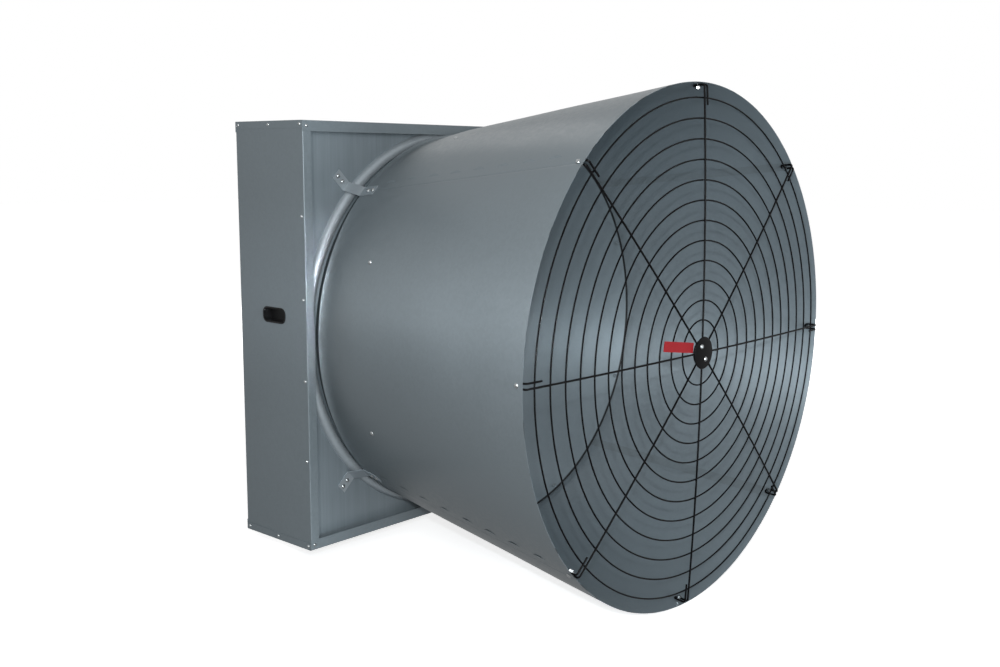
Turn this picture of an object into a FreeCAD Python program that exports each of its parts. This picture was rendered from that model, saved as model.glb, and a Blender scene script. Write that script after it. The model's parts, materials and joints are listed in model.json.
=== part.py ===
import FreeCAD, Part
import math
import os
import re

import Sketcher

# Belt-driven exhaust fan: a square housing of folded sheet steel with a sheet-steel discharge
# cone in front of it. Lengths are millimetres, +Z is up and the air leaves along -Y. The fan axis
# is the Y axis, and the origin is the middle of the mounting plane at the back of the housing.

SIZES = {
    # Housing of folded sheet
    "orifice_border": 56,
    "chamber_depth": 304,
    "panel_recess": 41,
    "housing_gauge": 1.5,
    "bend_radius": 3,
    "lip_width": 34,
    "cap_flange": 24,
    "seam_gap": 0.1,
    "wall_hole_radius": 5,
    "wall_hole_inset": 14,
    "wall_hole_spread": 600,
    # Hand holes and their plastic cups
    "grip_length": 117,
    "grip_height": 52,
    "grip_corner": 22,
    "grip_bore_corner": 13.5,
    "grip_rise": 70,
    "grip_setback": 165,
    "grip_flange": 3,
    "grip_plate": 2,
    "grip_wall": 2.5,
    "grip_depth": 30,
    # Orifice duct and the rolled bead round it
    "ring_radius": 634,
    "ring_gauge": 1.2,
    "ring_depth": 200,
    "ring_flange": 9,
    "bell_radius": 18,
    "bead_radius": 19,
    "neck_length": 303,
    "neck_flare": 46,
    "neck_bolt_inset": 15.5,
    # Discharge cone of four quarter panels
    "cone_gauge": 1.2,
    "cone_standoff": 43,
    "cone_overhang": 5.5,
    "cone_length": 972,
    "cone_flare": 140.2,
    "lap_angle": 2,
    "joggle_angle": 0.5,
    "seam_angle": 0.02,
    # Strap clips between the orifice panel and the cone
    "clip_gauge": 3,
    "clip_width": 38,
    "clip_foot_start": 30,
    "clip_foot": 59,
    "clip_leg_start": 2,
    "clip_leg": 68,
    "clip_bolt_inset": 12,
    "clip_bolt_pitch": 25,
    # Wire guard in the cone's mouth
    "ring_count": 12,
    "ring_wire": 5,
    "spoke_wire": 6,
    "spoke_count": 8,
    "first_ring": 99,
    "guard_margin": 45,
    "guard_dome": 28,
    "guard_bow": 12500,
    "bow_spare": 13,
    "guard_bolt_inset": 23,
    "spoke_start": 30,
    "hairpin_gap": 15,
    "hairpin_depth": 35,
    "hairpin_return": 60,
    "hairpin_bend": 8,
    "hub_radius": 50,
    "hub_back_radius": 40,
    "hub_plate": 3,
    "hub_bolt_spread": 23,
    "hub_bolt_tilt": 29,
    "badge_length": 157,
    "badge_height": 31,
    "badge_plate": 2,
    "badge_corner": 3,
    "badge_tilt": 8.2,
    "badge_near": 48,
    "badge_rise": 20,
    # Safety guard over the inlet
    "inlet_bar_width": 23,
    "inlet_bar": 3,
    "inlet_wire": 4,
    "inlet_pitch": 60,
    # Uprights and bearing block
    "beam_offset": 110,
    "beam_width": 60,
    "beam_depth": 30,
    "beam_gauge": 3,
    "beam_back": 70,
    "bearing_plate": 8,
    "bearing_plate_height": 200,
    "bearing_corner": 12,
    "bearing_bolt_inset": 25,
    "plate_bite": 4,
    "tube_radius": 48,
    "tube_reach": 6,
    "bearing_radius": 31,
    "bearing_width": 16,
    "bearing_shoulder": 5,
    "bearing_inset": 2,
    "fit_gap": 0.03,
    # Shaft
    "journal_radius": 15,
    "collar_radius": 19,
    "seat_radius": 13,
    "thread_radius": 10,
    "nut_across": 30,
    "nut_height": 10,
    "nut_spare": 3,
    # Propeller
    "blade_count": 3,
    "tip_gap": 12,
    "blade_gauge": 2,
    # Depth of a root pad and its bolts inside the hub disc's rim
    "blade_root": 80,
    "blade_bolt_near": 40,
    "blade_bolt_far": 15,
    "root_lap": 1,
    "blade_bolt_spread": 40,
    "root_chord": 200,
    "tip_chord": 330,
    "root_pitch": 34,
    "tip_pitch": 21,
    "blade_camber": 0.06,
    "root_camber": 0.004,
    "tip_spare": 33,
    "blade_phase": 50,
    "blade_blend": 110,
    "hub_setback": 148,
    "hub_disc": 6,
    "hub_disc_radius": 190,
    "hub_boss": 30,
    "hub_boss_radius": 40,
    "hub_gap": 6,
    # Belt drive
    "pulley_back": 27,
    "pulley_width": 26,
    "pulley_web": 6,
    "pulley_rim": 30,
    "pulley_hub_radius": 36,
    "fan_pulley_radius": 200,
    "motor_pulley_radius": 65,
    "motor_hub_wall": 10,
    "groove_floor_gap": 1.5,
    "pulley_hole_radius": 38,
    "pulley_hole_count": 5,
    "belt_top": 17,
    "belt_base": 11,
    "belt_height": 11,
    "belt_drop": 1,
    "belt_gap": 0.4,
    # Motor in the lower right corner
    "motor_corner": 145,
    "motor_radius": 72,
    "motor_height": 80,
    "motor_back": 75,
    "motor_cowl": 46,
    "motor_panel_gap": 14,
    "motor_shaft_radius": 12,
    "motor_shaft_length": 92,
    "shaft_end_gap": 2,
    "fin_count": 28,
    "fin_height": 6,
    "fin_gauge": 3,
    "foot_spread": 62.5,
    "foot_width": 34,
    "foot_gauge": 12,
    "foot_pitch": 100,
    "foot_length": 130,
    "stand_gauge": 4,
    "stand_reach": 82,
    "stand_flange": 30,
    "shield_gauge": 14,
    "box_length": 90,
    "box_height": 84,
    "box_depth": 45,
    "cowl_gauge": 2,
    "vent_count": 8,
    "vent_spread": 40,
    "vent_radius": 10,
    "gland_radius": 11,
    "gland_length": 24,
    "gland_nut_across": 24,
    # Belt tensioner
    "arm_length": 110,
    "arm_width": 36,
    "arm_gauge": 8,
    "arm_gap": 0.3,
    "arm_corner": 17,
    "tension_plate": 5,
    "tension_plate_height": 120,
    "tension_bolt_inset": 16,
    "tension_bolt_pitch": 40,
    "pivot_radius": 10,
    "pivot_head_radius": 15,
    "pivot_head": 3,
    "idler_radius": 35,
    "idler_width": 24,
    "idler_press": 20,
    "idler_hub_radius": 16,
    "idler_rim_radius": 28,
    "idler_bolt_radius": 6,
    "idler_head_wall": 4,
    "idler_nut_across": 18,
    # Fasteners
    "screw_head_radius": 5.5,
    "screw_head": 3.2,
    "screw_radius": 2.4,
    "screw_length": 9,
    "screw_edge": 6,
    "bolt_head_radius": 7.5,
    "bolt_head": 5,
    "bolt_radius": 4,
    "bolt_nut": 6.5,
    "bolt_nut_across": 13,
    "bolt_spare": 2,
    "sleeve_wall": 3,
    "drill_reach": 40,
    "hole_gap": 0.2,
}

doc = FreeCAD.newDocument("ConeFan")
sheet = doc.addObject("Spreadsheet::Sheet", "Sizes")
for row, (alias, value) in enumerate(SIZES.items(), start=1):
    sheet.set(f"A{row}", alias)
    sheet.set(f"B{row}", str(value))
    sheet.setAlias(f"B{row}", alias)
doc.recompute()

WORD = re.compile(r"[A-Za-z_]\w*")
UP = FreeCAD.Vector(0, 0, 1)
RIGHT = FreeCAD.Vector(1, 0, 0)
BACK = FreeCAD.Vector(0, 1, 0)
ORIGIN = FreeCAD.Vector(0, 0, 0)

# Length by which a drill passes the face that it enters
DRILL_SPARE = 1

# Levels and radii that several pieces share, as expressions of the sheet's sizes
HALF = "(ring_radius + orifice_border)"
FRONT = "(-chamber_depth - panel_recess)"
PANEL = "(-chamber_depth)"
WEB = "(ring_radius + orifice_border - housing_gauge - seam_gap)"
INSIDE = WEB
INSIDE_X = "(ring_radius + orifice_border - 2 * housing_gauge - 2 * seam_gap)"
RING_OUT = "(ring_radius + ring_gauge)"
BEAD_MID = "(ring_radius + ring_gauge + seam_gap + bead_radius)"
CREST = "(-chamber_depth - bead_radius)"
BASE_R = f"({BEAD_MID} + cone_overhang)"
BASE_Y = f"({CREST} - cone_standoff)"
MOUTH_R = f"({BASE_R} + cone_flare)"
MOUTH_Y = f"({BASE_Y} - cone_length)"
NECK_R = "(ring_radius + neck_flare)"
NECK_Y = "(-chamber_depth - neck_length)"
PULLEY_BACK = "(-pulley_back)"
PULLEY_FRONT = "(-pulley_back - pulley_width)"
BELT_MID = "(-pulley_back - pulley_width / 2)"
BEAM_BACK = "(-beam_back)"
PLATE_BACK = "(-beam_back + bearing_plate)"
TUBE_BACK = f"({PLATE_BACK} + tube_reach)"
HUB_BACK = "(-chamber_depth + hub_setback)"
TUBE_FRONT = f"({HUB_BACK} + hub_gap)"
MOTOR_X = f"({HALF} - motor_corner)"
MOTOR_Z = f"(motor_corner - {HALF})"
MOTOR_BACK = "(-motor_back)"
COWL_FRONT = "(-chamber_depth + motor_panel_gap)"
MOTOR_FRONT = f"({COWL_FRONT} + motor_cowl)"
MOTOR_MID = f"(({MOTOR_BACK} + {MOTOR_FRONT}) / 2)"
HUB_Y = f"({MOUTH_Y} - guard_dome)"

# Middle of a hand hole in (y, z), and the length, height and corner radius of its cut in the sheet
GRIP_MIDDLE = (f"{FRONT} + grip_setback", "grip_rise")
GRIP_HOLE = ("grip_length - 2 * grip_flange", "grip_height - 2 * grip_flange", "grip_corner - grip_flange")

parts = []


def bound(text):
    """Return the expression with each size written as its cell of the sheet."""

    def cell(found):
        word = found.group()
        return f"Sizes.{word}" if word in SIZES else word

    return WORD.sub(cell, text)


def number(text):
    """Return the present value of an expression."""
    return float(sheet.evalExpression(bound(text)))


def bind(item, **expressions):
    """Tie properties of a document object to expressions; two underscores stand for a dot."""
    for name, text in expressions.items():
        item.setExpression(name.replace("__", "."), bound(text))


def part(kind, label):
    """Add a document object that is one named sub-part."""
    item = doc.addObject(kind, label)
    item.Label = label
    parts.append(item)
    return item


def new_body(label, named=True):
    """Add a body, either a sub-part itself or a blank that is drilled later."""
    if named:
        return part("PartDesign::Body", label)
    return doc.addObject("PartDesign::Body", f"{label}_blank")


def new_sketch(body, role, offset="0"):
    """Add a sketch on one of the body's origin planes, shifted along the plane's normal."""
    sketch = body.newObject("Sketcher::SketchObject", f"{body.Name}_sketch")
    plane = next(item for item in body.Origin.OriginFeatures if item.Role == role)
    sketch.AttachmentSupport = [(plane, "")]
    sketch.MapMode = "FlatFace"
    sketch.setExpression("AttachmentOffset.Base.z", bound(offset))
    return sketch


def fix(sketch, kind, *where, text):
    """Add a dimension to a sketch and tie it to an expression."""
    index = sketch.addConstraint(Sketcher.Constraint(kind, *where, number(text)))
    sketch.setExpression(f"Constraints[{index}]", bound(text))


def arc_between(start, end, radius, turn):
    """Return the smaller arc between two points; turn is 1 anticlockwise, -1 clockwise."""
    chord = end - start
    height = math.sqrt(max(radius ** 2 - chord.Length ** 2 / 4, 0))
    left = FreeCAD.Vector(-chord.y, chord.x, 0).normalize()
    centre = (start + end) / 2 + left * (height * turn)
    first, last = (start, end) if turn > 0 else (end, start)
    begin = math.atan2(first.y - centre.y, first.x - centre.x)
    finish = math.atan2(last.y - centre.y, last.x - centre.x)
    if finish < begin:
        finish += 2 * math.pi
    return Part.ArcOfCircle(Part.Circle(centre, UP, radius), begin, finish)


def outline(sketch, corners):
    """Draw a closed outline. A corner is (x, y), or (x, y, radius, turn) where an arc leads on."""
    spots = [FreeCAD.Vector(number(corner[0]), number(corner[1]), 0) for corner in corners]
    joints = []
    for index, corner in enumerate(corners):
        start = spots[index]
        end = spots[(index + 1) % len(spots)]
        if len(corner) == 2:
            edge = sketch.addGeometry(Part.LineSegment(start, end))
            joints.append((edge, 1, 2))
            continue
        edge = sketch.addGeometry(arc_between(start, end, number(corner[2]), corner[3]))
        joints.append((edge, 1, 2) if corner[3] > 0 else (edge, 2, 1))
        fix(sketch, "Radius", edge, text=corner[2])
    for index, (edge, first, last) in enumerate(joints):
        following = joints[(index + 1) % len(joints)]
        sketch.addConstraint(Sketcher.Constraint("Coincident", edge, last, following[0], following[1]))
        fix(sketch, "DistanceX", edge, first, text=corners[index][0])
        fix(sketch, "DistanceY", edge, first, text=corners[index][1])


def rectangle(sketch, left, right, low, high):
    """Draw a rectangle between two abscissae and two ordinates."""
    outline(sketch, [(left, low), (right, low), (right, high), (left, high)])


def rounded_box(sketch, middle, wide, tall, radius):
    """Draw a rectangle with rounded corners about a middle point."""
    left, right = f"{middle[0]} - ({wide}) / 2", f"{middle[0]} + ({wide}) / 2"
    low, high = f"{middle[1]} - ({tall}) / 2", f"{middle[1]} + ({tall}) / 2"
    outline(sketch, [
        (f"{left} + ({radius})", low), (f"{right} - ({radius})", low, radius, 1),
        (right, f"{low} + ({radius})"), (right, f"{high} - ({radius})", radius, 1),
        (f"{right} - ({radius})", high), (f"{left} + ({radius})", high, radius, 1),
        (left, f"{high} - ({radius})"), (left, f"{low} + ({radius})", radius, 1),
    ])


def circle(sketch, x, y, radius):
    """Draw a circle."""
    edge = sketch.addGeometry(Part.Circle(FreeCAD.Vector(number(x), number(y), 0), UP, number(radius)))
    fix(sketch, "DistanceX", edge, 3, text=x)
    fix(sketch, "DistanceY", edge, 3, text=y)
    fix(sketch, "Radius", edge, text=radius)


def pad(body, sketch, length, both_ways=False):
    """Raise a sketch along its normal, or evenly to both sides."""
    feature = body.newObject("PartDesign::Pad", f"{body.Name}_pad")
    feature.Profile = sketch
    feature.SideType = "Symmetric" if both_ways else "One side"
    feature.setExpression("Length", bound(length))
    return feature


def pocket(body, sketch):
    """Cut a sketch right through the body, to both sides of its plane."""
    feature = body.newObject("PartDesign::Pocket", f"{body.Name}_pocket")
    feature.Profile = sketch
    feature.SideType = "Symmetric"
    feature.Type = "ThroughAll"
    return feature


def revolve(body, corners, start=0.0, sweep="360"):
    """Turn an outline of (radius, y) corners about the fan axis, from a starting angle."""
    sketch = new_sketch(body, "XY_Plane")
    sketch.AttachmentOffset = FreeCAD.Placement(ORIGIN, FreeCAD.Rotation(BACK, start))
    outline(sketch, corners)
    feature = body.newObject("PartDesign::Revolution", f"{body.Name}_turn")
    feature.Profile = sketch
    feature.ReferenceAxis = (sketch, ["V_Axis"])
    feature.setExpression("Angle", bound(sweep))
    return feature


def ring_pattern(body, feature, axis_role, count):
    """Repeat a feature evenly round one of the body's axes."""
    axis = next(item for item in body.Origin.OriginFeatures if item.Role == axis_role)
    pattern = body.newObject("PartDesign::PolarPattern", f"{body.Name}_pattern")
    pattern.Originals = [feature]
    pattern.Axis = (axis, [""])
    pattern.Angle = 360
    pattern.setExpression("Occurrences", bound(count))
    body.Tip = pattern


def turned(angle, point):
    """Return a point turned about the fan axis, from +X towards +Z."""
    return FreeCAD.Rotation(BACK, -angle).multVec(point)


def aimed(axis, point):
    """Return the placement that carries +Z onto an axis through a point."""
    return FreeCAD.Placement(point, FreeCAD.Rotation(UP, axis))


def rod(point, axis, radius, ahead, behind):
    """Return a cylinder about an axis, from a length behind a point to a length ahead of it."""
    return Part.makeCylinder(radius, ahead + behind, point - axis * behind, axis)


def dome_head(point, axis, radius, height, shank, length):
    """Return a domed screw: its head stands on the point, its shank runs back along the axis."""
    rise = (radius ** 2 + height ** 2) / (2 * height)
    top = FreeCAD.Vector(0, 0, height)
    rim = FreeCAD.Vector(radius, 0, 0)
    angle = math.asin(radius / rise) / 2
    middle = FreeCAD.Vector(rise * math.sin(angle), 0, height - rise + rise * math.cos(angle))
    neck = FreeCAD.Vector(shank, 0, 0)
    tip = FreeCAD.Vector(shank, 0, -length)
    foot = FreeCAD.Vector(0, 0, -length)
    edges = [Part.Arc(top, middle, rim).toShape()]
    edges += [Part.makeLine(*pair) for pair in ((rim, neck), (neck, tip), (tip, foot), (foot, top))]
    solid = Part.Face(Part.Wire(edges)).revolve(ORIGIN, UP, 360)
    solid.Placement = aimed(axis, point)
    return solid


def hex_nut(point, axis, across, height, bore):
    """Return a hexagon nut that stands on the point and rises along the axis."""
    reach = across / math.sqrt(3)
    corners = [FreeCAD.Vector(reach * math.cos(math.radians(60 * step)),
                              reach * math.sin(math.radians(60 * step)), 0) for step in range(7)]
    solid = Part.Face(Part.makePolygon(corners)).extrude(UP * height)
    solid = solid.cut(Part.makeCylinder(bore, height))
    solid.Placement = aimed(axis, point)
    return solid


def bolt(point, axis, grip):
    """Return a bolt and, past its grip length, the nut that closes it."""
    shank = number("bolt_radius")
    reach = grip + number("bolt_nut + bolt_spare")
    head = dome_head(point, axis, number("bolt_head_radius"), number("bolt_head"), shank, reach)
    nut = hex_nut(point - axis * grip, -axis, number("bolt_nut_across"), number("bolt_nut"),
                  number("bolt_radius + fit_gap"))
    return [head, nut]


def group(label, solids):
    """Add a sub-part that is a set of separate solids."""
    item = part("Part::Feature", label)
    item.Shape = Part.makeCompound(solids)
    return item


def drilled(label, blank, drills):
    """Add a sub-part: a blank with holes drilled along (point, axis, radius, ahead, behind) rods."""
    tool = doc.addObject("Part::Feature", f"{label}_drills")
    tool.Shape = Part.makeCompound([rod(*drill) for drill in drills])
    item = part("Part::Cut", label)
    item.Base = blank
    item.Tool = tool
    return item


def rounded_path(points, radii):
    """Return a wire of straight runs through the points, with tangent arcs at the inner corners."""
    edges = []
    last = points[0]
    for index in range(1, len(points) - 1):
        corner = points[index]
        back = (points[index - 1] - corner).normalize()
        onward = (points[index + 1] - corner).normalize()
        half = back.getAngle(onward) / 2
        radius = radii[index - 1]
        reach = radius / math.tan(half)
        bisector = (back + onward).normalize()
        crown = corner + bisector * (radius / math.sin(half) - radius)
        start = corner + back * reach
        end = corner + onward * reach
        edges.append(Part.makeLine(last, start))
        edges.append(Part.Arc(start, crown, end).toShape())
        last = end
    edges.append(Part.makeLine(last, points[-1]))
    return Part.Wire(edges)


def wire_sweep(path, radius):
    """Return a round wire along a path that starts with a straight run."""
    first = path.Edges[0]
    start = first.valueAt(first.FirstParameter)
    heading = first.tangentAt(first.FirstParameter)
    profile = Part.Wire(Part.Circle(start, heading, radius).toShape())
    return path.makePipeShell([profile], True, False)


def cone_radius(level):
    """Return the cone's outer radius at a level of y."""
    return f"({BASE_R} + cone_flare * ({BASE_Y} - ({level})) / cone_length)"


def screw_spots():
    """Return the housing screws as (point, outward axis), keyed by the pieces that they join."""
    half = number(HALF)
    web = number(WEB)
    front = number(FRONT)
    flange = number(f"{HALF} - cap_flange / 2")
    edge = number("bend_radius + screw_head_radius + screw_edge")
    spots = {"cap": [], "lip": [], "panel": []}
    for side in (-1, 1):
        outward = RIGHT * side
        for upper in (-1, 1):
            for level in (front + edge, front / 2, -edge):
                spots["cap"].append((FreeCAD.Vector(side * half, level, upper * flange), outward))
            corner = number(f"{HALF} - lip_width / 2")
            spots["lip"].append((FreeCAD.Vector(side * corner, front, upper * corner), -BACK))
        row = number(f"{HALF} - lip_width")
        for step in (-3, -1, 1, 3):
            spots["panel"].append((FreeCAD.Vector(side * web, front + edge, step * row / 5), outward))
    return spots


SCREWS = screw_spots()


def screw_drills(*kinds):
    """Return drill rods for kinds of housing screws."""
    radius = number("screw_radius + hole_gap")
    depth = number("screw_length")
    return [(point, axis, radius, DRILL_SPARE, depth) for kind in kinds for point, axis in SCREWS[kind]]


def beam_spots():
    """Return the uprights' end bolts as (point, outward axis)."""
    half = number(HALF)
    spots = []
    for side in (-1, 1):
        for upper in (-1, 1):
            for shift in (-1, 1):
                x = number(f"{side} * beam_offset + {shift} * beam_width / 4")
                y = number(f"{BEAM_BACK} - beam_depth / 2")
                spots.append((FreeCAD.Vector(x, y, upper * half), UP * upper))
    return spots


def stand_spots():
    """Return the motor stand's floor bolts as (point, outward axis)."""
    spots = []
    for side in (-1, 1):
        for shift in (-1, 1):
            x = number(f"{MOTOR_X} + {side} * (stand_reach + stand_flange / 2)")
            y = number(f"{MOTOR_MID} + {shift} * foot_pitch / 3")
            spots.append((FreeCAD.Vector(x, y, -number(HALF)), -UP))
    return spots


def bolt_drills(spots, depth, ahead=DRILL_SPARE):
    """Return drill rods for bolts, from a depth behind each spot to a length ahead of it."""
    radius = number("bolt_radius + hole_gap")
    return [(point, axis, radius, ahead, depth) for point, axis in spots]


def wall_drills():
    """Return drill rods for the four wall bolts in the caps' rear lips."""
    radius = number("wall_hole_radius")
    x = number("wall_hole_spread")
    z = number(f"{HALF} - wall_hole_inset")
    depth = number("2 * housing_gauge")
    return [(FreeCAD.Vector(side * x, 0, upper * z), BACK, radius, DRILL_SPARE, depth)
            for side in (-1, 1) for upper in (-1, 1)]


def inlet_spots():
    """Return the inlet guard's screws through the rear lips as (point, outward axis)."""
    row = number(f"{HALF} - lip_width + inlet_bar_width / 4")
    spread = number(f"{HALF} / 3")
    spots = []
    for shift in (-1, 1):
        for side in (-1, 1):
            spots.append((FreeCAD.Vector(shift * spread, 0, side * row), BACK))
            spots.append((FreeCAD.Vector(side * row, 0, shift * spread), BACK))
    return spots


def inlet_drills():
    """Return drill rods for the inlet guard's screws."""
    radius = number("screw_radius + hole_gap")
    depth = number("screw_length")
    return [(point, axis, radius, DRILL_SPARE, depth) for point, axis in inlet_spots()]


def housing_cap(label, side, extra):
    """Folded cap: a plate with front and rear lips and side flanges; side is 1 on top, -1 below."""
    body = new_body(label, named=False)
    high, bend = f"{side} * {HALF}", f"{side} * ({HALF} - bend_radius)"
    deep = f"{side} * ({HALF} - lip_width)"
    under = f"{side} * ({HALF} - housing_gauge)"
    turn_in = "bend_radius - housing_gauge"
    section = new_sketch(body, "YZ_Plane")
    outline(section, [
        (FRONT, deep), (FRONT, bend, "bend_radius", -side),
        (f"{FRONT} + bend_radius", high), ("-bend_radius", high, "bend_radius", -side),
        ("0", bend), ("0", deep), ("-housing_gauge", deep),
        ("-housing_gauge", bend, turn_in, side), ("-bend_radius", under),
        (f"{FRONT} + bend_radius", under, turn_in, side), (f"{FRONT} + housing_gauge", bend),
        (f"{FRONT} + housing_gauge", deep),
    ])
    pad(body, section, f"2 * {HALF}", both_ways=True)
    for offset in (f"{HALF} - housing_gauge", f"-{HALF}"):
        flange = new_sketch(body, "YZ_Plane", offset)
        low = f"{side} * ({HALF} - cap_flange)"
        outline(flange, [
            (FRONT, low), (FRONT, bend, "bend_radius", -side),
            (f"{FRONT} + bend_radius", high), ("-bend_radius", high, "bend_radius", -side),
            ("0", bend), ("0", low),
        ])
        pad(body, flange, "housing_gauge")
    drilled(label, body, screw_drills("cap", "lip") + wall_drills() + inlet_drills() + extra)


def housing_side(label, side):
    """Folded side sheet with front and rear lips, corner tabs and a hand hole; side is -1 or 1."""
    body = new_body(label, named=False)
    web, bend = f"{side} * {WEB}", f"{side} * ({WEB} - bend_radius)"
    lip = f"{side} * ({HALF} - lip_width)"
    inner = f"{side} * ({WEB} - housing_gauge)"
    turn_in = "bend_radius - housing_gauge"
    section = new_sketch(body, "XY_Plane")
    outline(section, [
        (lip, FRONT), (bend, FRONT, "bend_radius", side),
        (web, f"{FRONT} + bend_radius"), (web, "-bend_radius", "bend_radius", side),
        (bend, "0"), (lip, "0"), (lip, "-housing_gauge"),
        (bend, "-housing_gauge", turn_in, -side), (inner, "-bend_radius"),
        (inner, f"{FRONT} + bend_radius", turn_in, -side), (bend, f"{FRONT} + housing_gauge"),
        (lip, f"{FRONT} + housing_gauge"),
    ])
    pad(body, section, f"2 * ({HALF} - lip_width - seam_gap)", both_ways=True)
    sheet_web = new_sketch(body, "XY_Plane")
    rectangle(sheet_web, inner, web, f"{FRONT} + housing_gauge + seam_gap", "-housing_gauge - seam_gap")
    pad(body, sheet_web, f"2 * ({HALF} - bend_radius)", both_ways=True)
    web_ends = new_sketch(body, "XY_Plane")
    rectangle(web_ends, inner, web, f"{FRONT} + bend_radius", "-bend_radius")
    pad(body, web_ends, f"2 * {INSIDE}", both_ways=True)
    tabs = new_sketch(body, "XZ_Plane", f"-({FRONT} + 2 * housing_gauge + seam_gap)")
    for upper in (-1, 1):
        rectangle(tabs, lip, web, f"{upper} * ({HALF} - lip_width)", f"{upper} * ({HALF} - bend_radius)")
    pad(body, tabs, "housing_gauge")
    hole = new_sketch(body, "YZ_Plane")
    rounded_box(hole, GRIP_MIDDLE, *GRIP_HOLE)
    pocket(body, hole)
    drilled(label, body, screw_drills("cap", "lip", "panel") + inlet_drills())


def hand_grip(label, side):
    """Plastic cup in a hand hole: a flange on the outer face, a sleeve through the sheet and a back."""
    body = new_body(label)
    wide, tall, corner = GRIP_HOLE
    bore = (f"{wide} - 2 * grip_wall", f"{tall} - 2 * grip_wall", "grip_bore_corner")
    sleeve = (f"{wide} - 2 * seam_gap", f"{tall} - 2 * seam_gap", f"{corner} - seam_gap")
    flange = new_sketch(body, "YZ_Plane", WEB if side > 0 else f"-{WEB} - grip_plate")
    rounded_box(flange, GRIP_MIDDLE, "grip_length", "grip_height", "grip_corner")
    rounded_box(flange, GRIP_MIDDLE, *bore)
    pad(body, flange, "grip_plate")
    tube = new_sketch(body, "YZ_Plane", f"{WEB} - grip_depth" if side > 0 else f"-{WEB}")
    rounded_box(tube, GRIP_MIDDLE, *sleeve)
    rounded_box(tube, GRIP_MIDDLE, *bore)
    pad(body, tube, "grip_depth")
    deep = f"{WEB} - grip_depth" if side > 0 else f"-{WEB} + grip_depth - grip_wall"
    back = new_sketch(body, "YZ_Plane", deep)
    rounded_box(back, GRIP_MIDDLE, *sleeve)
    pad(body, back, "grip_wall")


def orifice_panel():
    """Recessed front panel: a tray with forward flanges and a half-round bead round its hole."""
    body = new_body("orifice_panel", named=False)
    plate = new_sketch(body, "XZ_Plane", "chamber_depth - housing_gauge")
    rectangle(plate, f"-{INSIDE_X}", INSIDE_X, f"-{INSIDE}", INSIDE)
    circle(plate, "0", "0", f"{BEAD_MID} + bead_radius - housing_gauge")
    pad(body, plate, "housing_gauge")
    flange = new_sketch(body, "XZ_Plane", "chamber_depth")
    rectangle(flange, f"-{INSIDE_X}", INSIDE_X, f"-{INSIDE}", INSIDE)
    rectangle(flange, f"-{INSIDE_X} + housing_gauge", f"{INSIDE_X} - housing_gauge",
              f"-{INSIDE} + housing_gauge", f"{INSIDE} - housing_gauge")
    pad(body, flange, "panel_recess - 2 * housing_gauge - 2 * seam_gap")
    rear = f"{PANEL} + housing_gauge"
    outer, inner = f"{BEAD_MID} + bead_radius", f"{BEAD_MID} - bead_radius"
    revolve(body, [
        (outer, rear), (outer, PANEL, "bead_radius", -1), (BEAD_MID, CREST, "bead_radius", -1),
        (inner, PANEL), (inner, rear), (f"{inner} + housing_gauge", rear),
        (f"{inner} + housing_gauge", PANEL, "bead_radius - housing_gauge", 1),
        (BEAD_MID, f"{CREST} + housing_gauge", "bead_radius - housing_gauge", 1),
        (f"{outer} - housing_gauge", PANEL), (f"{outer} - housing_gauge", rear),
    ])
    drilled("orifice_panel", body, screw_drills("cap", "panel") + clip_drills("foot"))


def orifice_ring():
    """Duct round the propeller: a bell at the back, a welded flange and a flared neck in front."""
    body = new_body("orifice_ring", named=False)
    bell = f"({PANEL} + ring_depth - bell_radius)"
    lip = "(ring_radius + bell_radius)"
    flange_front = f"{PANEL} + housing_gauge + seam_gap / 2"
    flange_rim = f"{BEAD_MID} + bead_radius + ring_flange"
    revolve(body, [
        (NECK_R, NECK_Y), (f"{NECK_R} + ring_gauge", NECK_Y), (RING_OUT, CREST), (RING_OUT, flange_front),
        (flange_rim, flange_front), (flange_rim, f"{flange_front} + ring_gauge"),
        (RING_OUT, f"{flange_front} + ring_gauge"), (RING_OUT, bell, "bell_radius - ring_gauge", -1),
        (lip, f"{bell} + bell_radius - ring_gauge"), (lip, f"{bell} + bell_radius", "bell_radius", 1),
        ("ring_radius", bell), ("ring_radius", CREST),
    ])
    drilled("orifice_ring", body, neck_drills())


def cone_normal():
    """Return the cone's outward direction as (radial, axial) parts."""
    slant = math.hypot(number("cone_flare"), number("cone_length"))
    return number("cone_length") / slant, number("cone_flare") / slant


def cone_spot(level, angle, sideways=0.0):
    """Return a point on the cone's outer face and the outward axis there."""
    radial, axial = cone_normal()
    point = FreeCAD.Vector(number(cone_radius(str(level))), level, sideways)
    return turned(angle, point), turned(angle, FreeCAD.Vector(radial, axial, 0))


CORNER_ANGLES = (45, 135, 225, 315)
NECK_BOLT_ANGLES = [22.5 + 45 * step for step in range(8)]


def neck_spots():
    """Return the neck bolts, near the neck's front edge, as (point, outward axis)."""
    level = number(f"{NECK_Y} + neck_bolt_inset")
    return [cone_spot(level, angle) for angle in NECK_BOLT_ANGLES]


def neck_drills():
    """Return drill rods for the neck bolts."""
    return bolt_drills(neck_spots(), number("drill_reach"))


def neck_grip():
    """Return the distance between the cone's outer face and the neck's inner face at the bolts."""
    level = number(f"{NECK_Y} + neck_bolt_inset")
    share = (number(CREST) - level) / (number(CREST) - number(NECK_Y))
    neck = number("ring_radius") + share * number("neck_flare")
    radial, _ = cone_normal()
    return (number(cone_radius(str(level))) - neck) * radial


def clip_spots(kind):
    """Return the clip bolts on the panel (foot) or on the cone (leg) as (point, outward axis)."""
    spots = []
    for angle in CORNER_ANGLES:
        for step in range(2):
            inset = f"(clip_bolt_inset + {step} * clip_bolt_pitch)"
            if kind == "foot":
                radius = number(f"{BEAD_MID} + clip_foot_start + clip_foot - {inset}")
                spots.append((turned(angle, FreeCAD.Vector(radius, number(PANEL), 0)), -BACK))
            else:
                level = number(f"{BASE_Y} - clip_leg_start - clip_leg + {inset}")
                spots.append(cone_spot(level, angle))
    return spots


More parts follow.
